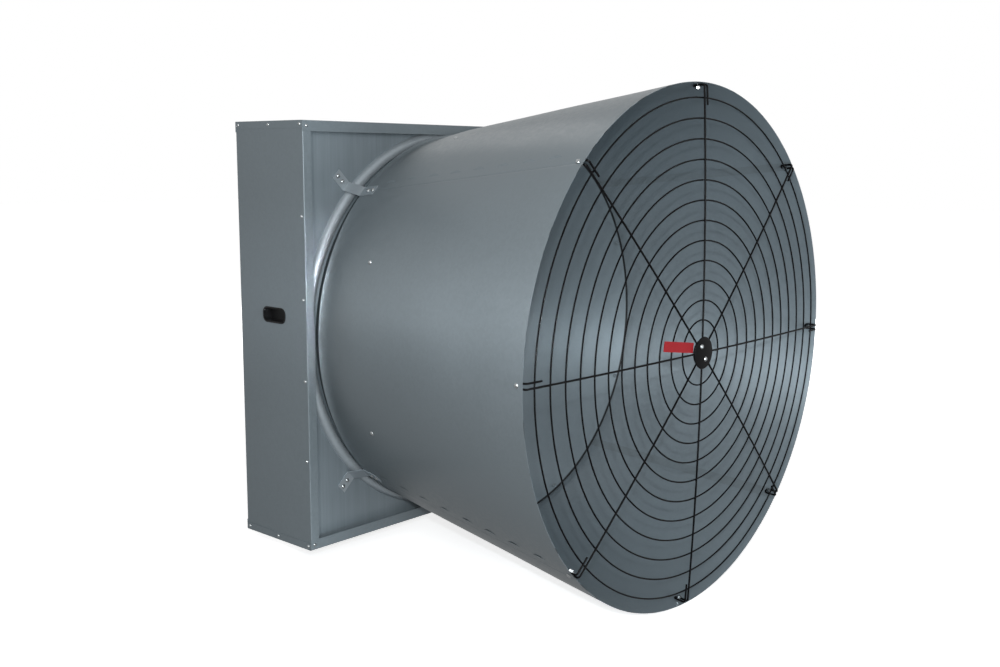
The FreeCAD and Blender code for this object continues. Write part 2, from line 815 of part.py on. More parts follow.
def clip_drills(kind):
    """Return drill rods for the clip bolts."""
    return bolt_drills(clip_spots(kind), number("drill_reach"), number("clip_gauge") + DRILL_SPARE)


def spoke_angles():
    """Return the guard's spoke angles."""
    count = round(number("spoke_count"))
    return [360 / count * step for step in range(count)]


def guard_spots():
    """Return the guard's wall bolts, between the legs of each hairpin, as (point, outward axis)."""
    level = number(f"{MOUTH_Y} + guard_bolt_inset")
    middle = number("-hairpin_gap / 2")
    return [cone_spot(level, angle, middle) for angle in spoke_angles()]


def guard_drills():
    """Return drill rods for the guard's wall bolts."""
    return bolt_drills(guard_spots(), number("drill_reach"))


def cone_panel(label, angle):
    """Quarter of the cone with a joggled strip that laps under the next quarter."""
    body = new_body(label, named=False)

    def shell(outer, inner):
        return [(f"{BASE_R} - {inner}", BASE_Y), (f"{BASE_R} - {outer}", BASE_Y),
                (f"{MOUTH_R} - {outer}", MOUTH_Y), (f"{MOUTH_R} - {inner}", MOUTH_Y)]

    seam = number("seam_angle")
    joggle = number("joggle_angle")
    lap_out, lap_in = "(cone_gauge + seam_gap)", "(2 * cone_gauge + seam_gap)"
    revolve(body, shell("0", "cone_gauge"), seam - 45, "90 - 2 * seam_angle")
    revolve(body, shell("cone_gauge / 2", lap_in), 45 - joggle, "joggle_angle - 5 * seam_angle")
    revolve(body, shell(lap_out, lap_in), 45 - joggle, "joggle_angle + lap_angle")
    body.Placement = FreeCAD.Placement(ORIGIN, FreeCAD.Rotation(BACK, -angle))
    drilled(label, body, neck_drills() + clip_drills("leg") + guard_drills())


def cone_clip(label, angle):
    """Strap clip: a foot on the panel, a bridge over the bead and a leg along the cone."""
    body = new_body(label, named=False)
    top = f"({BASE_Y} - clip_leg_start)"
    tip = f"({BASE_Y} - clip_leg_start - clip_leg)"
    near, far = f"{BEAD_MID} + clip_foot_start", f"{BEAD_MID} + clip_foot_start + clip_foot"
    top_r, tip_r = f"{cone_radius(top)} + seam_gap", f"{cone_radius(tip)} + seam_gap"
    section = new_sketch(body, "XY_Plane")
    outline(section, [
        (far, PANEL), (near, PANEL), (top_r, top), (tip_r, tip),
        (f"{tip_r} + clip_gauge", tip), (f"{top_r} + clip_gauge", top),
        (f"{near} + clip_gauge / 2", f"{PANEL} - clip_gauge"), (far, f"{PANEL} - clip_gauge"),
    ])
    pad(body, section, "clip_width", both_ways=True)
    body.Placement = FreeCAD.Placement(ORIGIN, FreeCAD.Rotation(BACK, -angle))
    drilled(label, body, clip_drills("foot") + clip_drills("leg"))


def cone_fasteners():
    """Bolts, nuts and sleeves of the clips, of the neck and of the guard's wall fixings."""
    clip_bolts = []
    for point, axis in clip_spots("foot"):
        clip_bolts += bolt(point + axis * number("clip_gauge"), axis, number("clip_gauge + housing_gauge"))
    stand = number("clip_gauge + 3 / 2 * seam_gap")
    for point, axis in clip_spots("leg"):
        clip_bolts += bolt(point + axis * stand, axis, stand + number("2 * cone_gauge + 3 / 2 * seam_gap"))
    group("cone_clip_bolts", clip_bolts)
    neck_bolts = []
    sleeves = []
    grip = neck_grip()
    inner, outer = number("bolt_radius + hole_gap"), number("bolt_radius + sleeve_wall")
    start = number("cone_gauge + 6 * seam_gap")
    length = grip - start - number("ring_gauge + 6 * seam_gap")
    for point, axis in neck_spots():
        neck_bolts += bolt(point, axis, grip + number("4 * seam_gap"))
        sleeve = Part.makeCylinder(outer, length, point - axis * (start + length), axis)
        sleeves.append(sleeve.cut(rod(point, axis, inner, DRILL_SPARE, grip)))
    group("cone_neck_bolts", neck_bolts)
    group("cone_neck_sleeves", sleeves)
    clamp = number("2 * cone_gauge + spoke_wire + 11 * seam_gap")
    guard_bolts = []
    for point, axis in guard_spots():
        guard_bolts += bolt(point + axis * number("3 * seam_gap"), axis, clamp)
    group("guard_bolts", guard_bolts)


def housing_screws():
    """Domed sheet screws of the caps, the front lips, the orifice panel and the inlet guard."""
    spots = [spot for kind in ("cap", "lip", "panel") for spot in SCREWS[kind]] + inlet_spots()
    size = [number(name) for name in ("screw_head_radius", "screw_head", "screw_radius")]
    length = number("screw_length") - DRILL_SPARE
    group("housing_screws", [dome_head(point, axis, *size, length) for point, axis in spots])


def guard_level(radius):
    """Return the spoke's level of y at a radius: flat over the hub's discs, then a shallow arc."""
    run = f"({radius} - hub_radius)"
    return f"({HUB_Y} + guard_bow - sqrt(guard_bow * guard_bow - {run} * {run}))"


def guard_rings():
    """Concentric wire rings behind the spokes."""
    count = round(number("ring_count"))
    item = part("Part::Compound", "guard_rings")
    rings = []
    for step in range(count):
        radius = f"(first_ring + ({MOUTH_R} - guard_margin - first_ring) * {step} / (ring_count - 1))"
        ring = doc.addObject("Part::Torus", f"guard_ring_{step + 1}")
        ring.Placement = FreeCAD.Placement(ORIGIN, FreeCAD.Rotation(RIGHT, 90))
        bind(ring, Radius1=radius, Radius2="ring_wire / 2",
             Placement__Base__y=f"{guard_level(radius)} + (ring_wire + spoke_wire) / 2 + 2 * seam_gap")
        rings.append(ring)
    item.Links = rings


def guard_spokes():
    """Bowed spokes of bent wire: each runs to the rim, turns in along the wall and doubles back."""
    wire = number("spoke_wire / 2")
    skin = wire + number("2 * cone_gauge + 4 * seam_gap")
    level = number(HUB_Y)
    bow = number("guard_bow")
    lean = math.asin(number(f"({MOUTH_R} - guard_margin + bow_spare - hub_radius) / guard_bow"))
    knee = number("hub_radius") + bow * math.tan(lean / 2)
    rim_r = number(cone_radius(MOUTH_Y)) - skin
    rim_y = level + (rim_r - knee) * math.tan(lean)
    deep_y = number(f"{MOUTH_Y} + hairpin_depth")
    deep_r = number(cone_radius(str(deep_y))) - skin
    back = number("hairpin_return")
    gap = -number("hairpin_gap")
    spots = [
        (number("spoke_start"), level, 0), (knee, level, 0), (rim_r, rim_y, 0), (deep_r, deep_y, 0),
        (deep_r, deep_y, gap), (rim_r, rim_y, gap), (rim_r - back, rim_y - back * math.tan(lean), gap),
    ]
    bend = number("hairpin_bend")
    turn = number("hairpin_gap / 2 - seam_gap")
    path = rounded_path([FreeCAD.Vector(*spot) for spot in spots], [bow, bend, turn, turn, bend])
    first = wire_sweep(path, wire)
    group("guard_spokes", [first.rotated(ORIGIN, BACK, -angle) for angle in spoke_angles()])


def guard_hub():
    """Two clamping discs on the spokes' inner ends, their bolts and a plain badge plate."""
    lift = "(spoke_wire / 2 + seam_gap)"
    for label, radius, start in (("guard_hub_front", "hub_radius", f"-({HUB_Y} - {lift})"),
                                 ("guard_hub_back", "hub_back_radius", f"-({HUB_Y} + {lift} + hub_plate)")):
        body = new_body(label)
        disc = new_sketch(body, "XZ_Plane", start)
        circle(disc, "0", "0", radius)
        for sign in (-1, 1):
            circle(disc, f"{-sign} * hub_bolt_spread * sin(hub_bolt_tilt)",
                   f"{sign} * hub_bolt_spread * cos(hub_bolt_tilt)", "bolt_radius + hole_gap")
        pad(body, disc, "hub_plate")
    bolts = []
    face = number(f"{HUB_Y} - {lift} - hub_plate")
    grip = number(f"2 * {lift} + 2 * hub_plate")
    for sign in (-1, 1):
        x = number(f"{-sign} * hub_bolt_spread * sin(hub_bolt_tilt)")
        z = number(f"{sign} * hub_bolt_spread * cos(hub_bolt_tilt)")
        bolts += bolt(FreeCAD.Vector(x, face, z), -BACK, grip)
    group("guard_hub_bolts", bolts)
    badge = new_body("guard_badge")
    plate = new_sketch(badge, "XZ_Plane")
    rounded_box(plate, ("-badge_length / 2", "0"), "badge_length", "badge_height", "badge_corner")
    pad(badge, plate, "badge_plate")
    badge.Placement = FreeCAD.Placement(ORIGIN, FreeCAD.Rotation(BACK, number("badge_tilt")))
    bind(badge, Placement__Base__x="-badge_near", Placement__Base__z="badge_rise",
         Placement__Base__y=f"{guard_level('first_ring')} + spoke_wire / 2 + seam_gap")


def inlet_guard():
    """Safety guard over the inlet: a flat-bar frame behind the rear lips and crossed wires."""
    body = new_body("inlet_guard_frame", named=False)
    outer = f"({HALF} - lip_width + inlet_bar_width / 2)"
    inner = f"({HALF} - lip_width - inlet_bar_width / 2)"
    frame = new_sketch(body, "XZ_Plane", "housing_gauge + seam_gap / 2")
    rectangle(frame, f"-{outer}", outer, f"-{outer}", outer)
    rectangle(frame, f"-{inner}", inner, f"-{inner}", inner)
    pad(body, frame, "inlet_bar")
    drilled("inlet_guard_frame", body, inlet_drills())
    item = part("Part::Compound", "inlet_guard_wires")
    wires = []
    count = int(number(f"{inner} / inlet_pitch"))
    reach = f"({inner} + inlet_bar_width / 4)"
    first = "(housing_gauge + seam_gap + inlet_bar + inlet_wire / 2)"
    for step in range(-count, count + 1):
        across = doc.addObject("Part::Cylinder", f"inlet_wire_across_{count + step}")
        across.Placement = FreeCAD.Placement(ORIGIN, FreeCAD.Rotation(BACK, 90))
        bind(across, Radius="inlet_wire / 2", Height=f"2 * {reach}", Placement__Base__x=f"-{reach}",
             Placement__Base__y=f"-{first}", Placement__Base__z=f"{step} * inlet_pitch")
        upright = doc.addObject("Part::Cylinder", f"inlet_wire_upright_{count + step}")
        bind(upright, Radius="inlet_wire / 2", Height=f"2 * {reach}", Placement__Base__z=f"-{reach}",
             Placement__Base__y=f"-{first} - inlet_wire - seam_gap",
             Placement__Base__x=f"{step} * inlet_pitch")
        wires += [across, upright]
    item.Links = wires


def bearing_spots():
    """Return the bearing block's bolts, through its plate and the uprights, as (point, axis)."""
    x = number("beam_offset")
    y = number(PLATE_BACK)
    z = number("bearing_plate_height / 2 - bearing_bolt_inset")
    return [(FreeCAD.Vector(side * x, y, upper * z), BACK) for side in (-1, 1) for upper in (-1, 1)]


def tension_spots():
    """Return the tensioner plate's bolts into the right upright as (point, axis)."""
    pivot, _ = tensioner_layout()
    y = number(f"{BEAM_BACK} + tension_plate")
    top = pivot.z + number("tension_plate_height - arm_width / 2 - tension_bolt_inset")
    pitch = number("tension_bolt_pitch")
    return [(FreeCAD.Vector(pivot.x, y, top - step * pitch), BACK) for step in range(2)]


def upright(label, side):
    """Channel between the caps with its web to the back and a foot plate at each end."""
    body = new_body(label, named=False)
    left = f"{side} * beam_offset - beam_width / 2"
    right = f"{side} * beam_offset + beam_width / 2"
    front = f"{BEAM_BACK} - beam_depth"
    section = new_sketch(body, "XY_Plane")
    outline(section, [
        (left, front), (f"{left} + beam_gauge", front),
        (f"{left} + beam_gauge", f"{BEAM_BACK} - beam_gauge"),
        (f"{right} - beam_gauge", f"{BEAM_BACK} - beam_gauge"), (f"{right} - beam_gauge", front),
        (right, front), (right, BEAM_BACK), (left, BEAM_BACK),
    ])
    pad(body, section, f"2 * {INSIDE}", both_ways=True)
    for offset in (f"-{INSIDE}", f"{INSIDE} - beam_gauge"):
        foot = new_sketch(body, "XY_Plane", offset)
        rectangle(foot, left, right, front, BEAM_BACK)
        pad(body, foot, "beam_gauge")
    deep = number("bearing_plate + 2 * beam_gauge")
    drills = bolt_drills(beam_spots(), number("2 * beam_gauge + 2 * housing_gauge"))
    drilled(label, body, drills + bolt_drills(bearing_spots() + tension_spots(), deep))


def bearing_block():
    """Cast block: a plate across the uprights and a tube with a bearing seat at each end."""
    body = new_body("bearing_block", named=False)
    plate = new_sketch(body, "XZ_Plane", "beam_back - bearing_plate")
    wide = "(beam_offset + beam_width / 2)"
    rounded_box(plate, ("0", "0"), f"2 * {wide}", "bearing_plate_height", "bearing_corner")
    circle(plate, "0", "0", "tube_radius - plate_bite")
    pad(body, plate, "bearing_plate")
    seat = "(bearing_radius + fit_gap)"
    bore = "(bearing_radius - bearing_shoulder)"
    rear_seat = f"{TUBE_BACK} - bearing_inset - bearing_width"
    front_seat = f"{TUBE_FRONT} + bearing_inset + bearing_width"
    revolve(body, [
        ("tube_radius", TUBE_FRONT), ("tube_radius", TUBE_BACK), (seat, TUBE_BACK), (seat, rear_seat),
        (bore, rear_seat), (bore, front_seat), (seat, front_seat), (seat, TUBE_FRONT),
    ])
    drilled("bearing_block", body, bolt_drills(bearing_spots(), number("bearing_plate") + DRILL_SPARE))
    for label, front in (("bearing_rear", rear_seat), ("bearing_front", f"{TUBE_FRONT} + bearing_inset")):
        race = new_body(label)
        bore_radius = "journal_radius + fit_gap"
        revolve(race, [
            (bore_radius, front), ("bearing_radius", front), ("bearing_radius", f"{front} + bearing_width"),
            (bore_radius, f"{front} + bearing_width"),
        ])


def frame_bolts():
    """Bolts of the uprights, the bearing block, the tensioner plate and the motor stand."""
    grip = number("beam_gauge + housing_gauge + seam_gap")
    beams = []
    for point, axis in beam_spots():
        beams += bolt(point, axis, grip)
    group("beam_bolts", beams)
    block = []
    for point, axis in bearing_spots() + tension_spots():
        block += bolt(point, axis, number("bearing_plate + beam_gauge"))
    group("bearing_bolts", block)
    stand = []
    for point, axis in stand_spots():
        stand += bolt(point, axis, number("housing_gauge + stand_gauge + seam_gap"))
    for point, axis in foot_spots():
        stand += bolt(point, axis, number("foot_gauge + stand_gauge + seam_gap"))
    group("motor_bolts", stand)


def fan_shaft():
    """Stepped shaft: threads for the end nuts, seats, bearing journals and a collar between them."""
    body = new_body("fan_shaft")
    rear_face = f"{TUBE_BACK} - bearing_inset - bearing_width - seam_gap"
    front_face = f"{TUBE_FRONT} + bearing_inset + bearing_width + seam_gap"
    boss = f"{HUB_BACK} - hub_boss"
    spare = "(nut_height + nut_spare)"
    revolve(body, [
        ("0", f"{boss} - {spare}"), ("thread_radius", f"{boss} - {spare}"), ("thread_radius", boss),
        ("seat_radius", boss), ("seat_radius", HUB_BACK), ("journal_radius", HUB_BACK),
        ("journal_radius", front_face), ("collar_radius", front_face), ("collar_radius", rear_face),
        ("journal_radius", rear_face), ("journal_radius", PULLEY_FRONT), ("seat_radius", PULLEY_FRONT),
        ("seat_radius", PULLEY_BACK), ("thread_radius", PULLEY_BACK),
        ("thread_radius", f"{PULLEY_BACK} + {spare}"), ("0", f"{PULLEY_BACK} + {spare}"),
    ])
    size = [number(name) for name in ("nut_across", "nut_height", "thread_radius + fit_gap")]
    group("shaft_nuts", [
        hex_nut(FreeCAD.Vector(0, number(PULLEY_BACK), 0), BACK, *size),
        hex_nut(FreeCAD.Vector(0, number(boss), 0), -BACK, *size),
    ])


def groove_half(radius, pulley):
    """Return half the width of a pulley's groove at a radius."""
    slope = "(belt_top - belt_base) / (2 * belt_height)"
    return f"(belt_top / 2 + {slope} * ({radius} - ({pulley} - belt_drop)) + belt_gap)"


def pulley(label, radius, bore, hub):
    """Grooved pulley with a hub, a thin web and a rim, in the belt's plane."""
    body = new_body(label)
    rim = f"({radius} - pulley_rim)"
    floor = f"({radius} - belt_drop - belt_height - groove_floor_gap)"
    web_back, web_front = f"{BELT_MID} + pulley_web / 2", f"{BELT_MID} - pulley_web / 2"
    top, low = groove_half(radius, radius), groove_half(floor, radius)
    revolve(body, [
        (bore, PULLEY_FRONT), (hub, PULLEY_FRONT), (hub, web_front), (rim, web_front), (rim, PULLEY_FRONT),
        (radius, PULLEY_FRONT), (radius, f"{BELT_MID} - {top}"), (floor, f"{BELT_MID} - {low}"),
        (floor, f"{BELT_MID} + {low}"), (radius, f"{BELT_MID} + {top}"), (radius, PULLEY_BACK),
        (rim, PULLEY_BACK), (rim, web_back), (hub, web_back), (hub, PULLEY_BACK), (bore, PULLEY_BACK),
    ])
    return body


def fan_pulley():
    """Large pulley on the fan shaft with round lightening holes in its web."""
    body = pulley("fan_pulley", "fan_pulley_radius", "(seat_radius + fit_gap)", "pulley_hub_radius")
    hole = new_sketch(body, "XZ_Plane")
    circle(hole, "(pulley_hub_radius + fan_pulley_radius - pulley_rim) / 2", "0", "pulley_hole_radius")
    ring_pattern(body, pocket(body, hole), "Y_Axis", "pulley_hole_count")


def motor_pulley():
    """Small pulley on the motor shaft."""
    body = pulley("motor_pulley", "motor_pulley_radius", "(motor_shaft_radius + fit_gap)",
                  "(motor_shaft_radius + motor_hub_wall)")
    at_motor(body)


def tangent_run(first, second):
    """Return both ends of the belt's straight run between two (centre, signed radius) circles."""
    (start, near), (end, far) = first, second
    gap = end - start
    heading = math.atan2(gap.y, gap.x) - math.asin((far - near) / gap.Length)
    side = FreeCAD.Vector(-math.sin(heading), math.cos(heading), 0)
    return start - side * near, end - side * far


def belt_circles():
    """Return the middle circles of the belt on the fan and motor pulleys, in (x, z)."""
    sunk = number("belt_drop + belt_height / 2")
    fan = (FreeCAD.Vector(0, 0, 0), number("fan_pulley_radius") - sunk)
    motor = (FreeCAD.Vector(number(MOTOR_X), number(MOTOR_Z), 0), number("motor_pulley_radius") - sunk)
    return fan, motor


def idler_circle():
    """Return the belt's middle circle round the idler, which turns the other way, in (x, z)."""
    leave, arrive = tangent_run(*belt_circles())
    along = (arrive - leave).normalize()
    inward = FreeCAD.Vector(-along.y, along.x, 0)
    radius = number("idler_radius + belt_height / 2 + belt_gap")
    offset = radius - number("idler_press")
    travel = (number("beam_offset") - leave.x + inward.x * offset) / along.x
    centre = leave + along * (travel + number("arm_length")) - inward * offset
    return centre, -radius, along


def tensioner_layout():
    """Return the arm's pivot and the idler's centre in the frame of the fan."""
    centre, _, along = idler_circle()
    pivot = centre - along * number("arm_length")
    return FreeCAD.Vector(pivot.x, 0, pivot.y), FreeCAD.Vector(centre.x, 0, centre.y)


def drive_belt():
    """Wedge belt round the fan pulley, the motor pulley and the idler."""
    fan, motor = belt_circles()
    centre, radius, _ = idler_circle()
    loop = [fan, (centre, radius), motor]
    level = number(BELT_MID)

    def placed(point):
        return FreeCAD.Vector(point.x, level, point.y)

    runs = [tangent_run(loop[index], loop[(index + 1) % 3]) for index in range(3)]
    edges = []
    for index, (middle, reach) in enumerate(loop):
        arrive, leave = runs[index - 1][1], runs[index][0]
        begin = math.atan2(arrive.y - middle.y, arrive.x - middle.x)
        finish = math.atan2(leave.y - middle.y, leave.x - middle.x)
        turn = (finish - begin) % (2 * math.pi) if reach > 0 else -((begin - finish) % (2 * math.pi))
        crown = begin + turn / 2
        top = middle + FreeCAD.Vector(math.cos(crown), math.sin(crown), 0) * abs(reach)
        edges.append(Part.Arc(placed(arrive), placed(top), placed(leave)).toShape())
        edges.append(Part.makeLine(placed(leave), placed(runs[index][1])))
    path = Part.Wire(edges)
    start = runs[2][1]
    outward = (start - fan[0]).normalize()
    across = [(1, "belt_top"), (1, "-belt_top"), (-1, "-belt_base"), (-1, "belt_base"), (1, "belt_top")]
    corners = []
    for side, width in across:
        spot = start + outward * (side * number("belt_height / 2"))
        corners.append(placed(spot) + BACK * number(f"{width} / 2"))
    item = part("Part::Feature", "drive_belt")
    item.Shape = path.makePipeShell([Part.makePolygon(corners)], True, False)


def propeller_hub():
    """Hub: a disc that the blades are bolted to and a boss on the shaft."""
    body = new_body("propeller_hub", named=False)
    bore = "(seat_radius + fit_gap)"
    front = f"({HUB_BACK} - hub_boss)"
    disc_front = f"({HUB_BACK} - hub_disc)"
    revolve(body, [
        (bore, front), ("hub_boss_radius", front), ("hub_boss_radius", disc_front),
        ("hub_disc_radius", disc_front), ("hub_disc_radius", HUB_BACK), (bore, HUB_BACK),
    ])
    drilled("propeller_hub", body, bolt_drills(blade_spots(), number("drill_reach")))


def blade_angles():
    """Return the blades' angles at rest."""
    count = round(number("blade_count"))
    return [number("blade_phase") + 360 / count * step for step in range(count)]


def blade_spots():
    """Return the blade root bolts through the hub's disc as (point, axis)."""
    y = number(f"{HUB_BACK} - hub_disc - blade_gauge - seam_gap")
    spots = []
    for angle in blade_angles():
        for depth, shift in (("blade_bolt_near", 0), ("blade_bolt_far", -1), ("blade_bolt_far", 1)):
            reach = number(f"hub_disc_radius - {depth}")
            spread = shift * number("blade_bolt_spread")
            spots.append((turned(angle, FreeCAD.Vector(reach, y, spread)), -BACK))
    return spots


def propeller_blade(label, angle):
    """Twisted, cambered sheet blade with a flat root pad, trimmed to the tip circle."""
    body = new_body(label, named=False)
    tip = "(ring_radius - tip_gap)"
    root_y = f"({HUB_BACK} - hub_disc - seam_gap)"
    flat_end = "(hub_disc_radius + root_lap)"
    foot = new_sketch(body, "XZ_Plane", f"-{root_y}")
    rectangle(foot, "hub_disc_radius - blade_root", flat_end, "-root_chord / 2", "root_chord / 2")
    pad(body, foot, "blade_gauge")
    twist_start = "(hub_disc_radius + blade_blend)"
    swept_y = f"({root_y} - root_chord / 2 * sin(root_pitch))"
    sections = [("hub_disc_radius", "root_chord", "0", "root_camber", root_y)]
    for share in (0, 0.5, 1):
        level = f"({twist_start} + ({tip} + tip_spare - {twist_start}) * {share})"
        chord = f"(root_chord + (tip_chord - root_chord) * {share})"
        pitch = f"(root_pitch + (tip_pitch - root_pitch) * {share})"
        sections.append((level, chord, pitch, "blade_camber", swept_y))
    sketches = []
    for level, chord, pitch, camber, middle in sections:
        bow = f"({chord} * {camber})"
        arc = f"({chord} * {chord} / (8 * {bow}) + {bow} / 2)"
        run, rise = f"{chord} / 2 * cos({pitch})", f"{chord} / 2 * sin({pitch})"
        thick_z, thick_y = f"blade_gauge * sin({pitch})", f"blade_gauge * cos({pitch})"
        sketch = new_sketch(body, "YZ_Plane", level)
        outline(sketch, [
            (f"{middle} - {rise}", f"-{run}", arc, 1),
            (f"{middle} + {rise}", run),
            (f"{middle} + {rise} - {thick_y}", f"{run} + {thick_z}", arc, -1),
            (f"{middle} - {rise} - {thick_y}", f"-{run} + {thick_z}"),
        ])
        sketches.append(sketch)
    loft = body.newObject("PartDesign::AdditiveLoft", f"{body.Name}_loft")
    loft.Profile = sketches[0]
    loft.Sections = sketches[1:]
    body.Placement = FreeCAD.Placement(ORIGIN, FreeCAD.Rotation(BACK, -angle))
    rim = doc.addObject("Part::Cylinder", f"{label}_rim")
    rim.Placement = FreeCAD.Placement(ORIGIN, FreeCAD.Rotation(RIGHT, 90))
    bind(rim, Radius=tip, Height="chamber_depth")
    trimmed = doc.addObject("Part::Common", f"{label}_trim")
    trimmed.Base = body
    trimmed.Tool = rim
    drilled(label, trimmed, bolt_drills(blade_spots(), number("hub_disc + 2 * blade_gauge")))


def propeller_bolts():
    """Bolts that hold the blades' root pads to the hub."""
    solids = []
    for point, axis in blade_spots():
        solids += bolt(point, axis, number("hub_disc + blade_gauge + seam_gap"))
    group("propeller_bolts", solids)


def at_motor(item):
    """Put a piece that is drawn about the Y axis onto the motor's axis."""
    bind(item, Placement__Base__x=MOTOR_X, Placement__Base__z=MOTOR_Z)


def foot_spots():
    """Return the bolts through the motor's feet as (point, axis)."""
    z = number(f"{MOTOR_Z} - motor_height + foot_gauge")
    return [(FreeCAD.Vector(number(f"{MOTOR_X} + {side} * foot_spread"),
                            number(f"{MOTOR_MID} + {shift} * foot_pitch / 2"), z), UP)
            for side in (-1, 1) for shift in (-1, 1)]


def motor_frame():
    """Finned motor frame with two feet and a seat for the terminal box."""
    body = new_body("motor_frame", named=False)
    bore = "(motor_shaft_radius + 2 * hole_gap)"
    blind = f"({MOTOR_BACK} - motor_shaft_length / 2)"
    revolve(body, [
        ("0", MOTOR_FRONT), ("motor_radius", MOTOR_FRONT), ("motor_radius", MOTOR_BACK), (bore, MOTOR_BACK),
        (bore, blind), ("0", blind),
    ])
    fin = new_sketch(body, "XZ_Plane", "motor_back + fin_gauge")
    rectangle(fin, "-fin_gauge / 2", "fin_gauge / 2", "motor_radius - fin_gauge", "motor_radius + fin_height")
    ring_pattern(body, pad(body, fin, f"{MOTOR_BACK} - {MOTOR_FRONT} - 2 * fin_gauge"), "Y_Axis", "fin_count")
    feet = new_sketch(body, "XZ_Plane", f"-({MOTOR_MID} + foot_length / 2)")
    for side in (-1, 1):
        near, far = f"{side} * (foot_spread - foot_width / 2)", f"{side} * (foot_spread + foot_width / 2)"
        leg = f"{side} * (foot_spread - foot_width / 4)"
        outline(feet, [
            (near, "-motor_height"), (far, "-motor_height"), (far, "-motor_height + foot_gauge"),
            (leg, "-motor_height + foot_gauge"), (leg, "-motor_radius / 2"), (near, "-motor_radius / 2"),
        ])
    pad(body, feet, "foot_length")
    seat = new_sketch(body, "XZ_Plane", f"-({MOTOR_MID} + box_length / 2 - foot_gauge)")
    rectangle(seat, "motor_radius / 2", "motor_radius + fin_height + fin_gauge",
              "-box_height / 3", "box_height / 3")
    pad(body, seat, "box_length - 2 * foot_gauge")
    at_motor(body)
    drilled("motor_frame", body, bolt_drills(foot_spots(), number("foot_gauge") + DRILL_SPARE))


def motor_covers():
    """End shield on the belt side and a cooling-fan cowl at the other end."""
    shield = new_body("motor_end_shield")
    near, far = f"{MOTOR_BACK} + seam_gap", f"{MOTOR_BACK} + shield_gauge"
    hole = "(motor_shaft_radius + 2 * hole_gap)"
    revolve(shield, [
        (hole, near), ("motor_radius", near), ("motor_radius", f"{near} + shield_gauge / 2"),
        ("motor_radius / 2", far), (hole, far),
    ])
    at_motor(shield)
    cowl = new_body("motor_fan_cowl")
    mouth = f"{MOTOR_FRONT} - seam_gap"
    revolve(cowl, [
        ("0", COWL_FRONT), ("motor_radius", COWL_FRONT), ("motor_radius", mouth),
        ("motor_radius - cowl_gauge", mouth), ("motor_radius - cowl_gauge", f"{COWL_FRONT} + cowl_gauge"),
        ("0", f"{COWL_FRONT} + cowl_gauge"),
    ])
    vent = new_sketch(cowl, "XZ_Plane", f"-({COWL_FRONT} + 2 * cowl_gauge)")
    circle(vent, "vent_spread", "0", "vent_radius")
    cut = cowl.newObject("PartDesign::Pocket", "motor_fan_cowl_vent")
    cut.Profile = vent
    cut.SideType = "One side"
    cut.Reversed = True
    cut.setExpression("Length", bound("4 * cowl_gauge"))
    ring_pattern(cowl, cut, "Y_Axis", "vent_count")
    at_motor(cowl)


def motor_shaft():
    """Motor shaft from inside the frame to past the small pulley."""
    body = new_body("motor_shaft")
    end = f"({PULLEY_BACK} + motor_shaft_radius / 3)"
    start = f"({MOTOR_BACK} - motor_shaft_length / 2 + shaft_end_gap)"
    revolve(body, [("0", start), ("motor_shaft_radius", start), ("motor_shaft_radius", end), ("0", end)])
    at_motor(body)


def terminal_box():
    """Terminal box on the motor's side and the gland through which its cable would leave."""
    body = new_body("terminal_box", named=False)
    near = "(motor_radius + fin_height + fin_gauge + seam_gap)"
    lid = new_sketch(body, "YZ_Plane", near)
    rounded_box(lid, (MOTOR_MID, "0"), "box_length", "box_height", "fin_height")
    pad(body, lid, "box_depth")
    at_motor(body)
    point = FreeCAD.Vector(number(f"{MOTOR_X} + {near} + box_depth / 2"), number(MOTOR_MID),
                           number(f"{MOTOR_Z} + box_height / 2"))
    bore, outer, length = number("gland_radius / 2"), number("gland_radius"), number("gland_length")
    drilled("terminal_box", body, [(point, UP, bore, DRILL_SPARE, number("box_height / 3"))])
    seat = point + UP * number("seam_gap")
    collar = hex_nut(seat, UP, number("gland_nut_across"), length / 3, bore)
    neck = Part.makeCylinder(outer, length, seat, UP)
    passage = rod(seat, UP, bore, length + DRILL_SPARE, DRILL_SPARE)
    group("cable_gland", [collar.fuse(neck).cut(passage).removeSplitter()])


def motor_stand():
    """Folded hat section between the motor's feet and the bottom cap."""
    body = new_body("motor_stand", named=False)
    top = "(-motor_height - seam_gap)"
    floor = "(housing_gauge + seam_gap - motor_corner)"
    hat = new_sketch(body, "XZ_Plane", f"-({MOTOR_MID} + foot_length / 2 + stand_gauge)")
    outline(hat, [
        ("-stand_reach - stand_flange", floor), ("-stand_reach + stand_gauge", floor),
        ("-stand_reach + stand_gauge", f"{top} - stand_gauge"),
        ("stand_reach - stand_gauge", f"{top} - stand_gauge"),
        ("stand_reach - stand_gauge", floor), ("stand_reach + stand_flange", floor),
        ("stand_reach + stand_flange", f"{floor} + stand_gauge"), ("stand_reach", f"{floor} + stand_gauge"),
        ("stand_reach", top), ("-stand_reach", top), ("-stand_reach", f"{floor} + stand_gauge"),
        ("-stand_reach - stand_flange", f"{floor} + stand_gauge"),
    ])
    pad(body, hat, "foot_length + 2 * stand_gauge")
    at_motor(body)
    depth = number("foot_gauge + 2 * stand_gauge")
    drilled("motor_stand", body, bolt_drills(foot_spots(), depth) + bolt_drills(stand_spots(), depth))


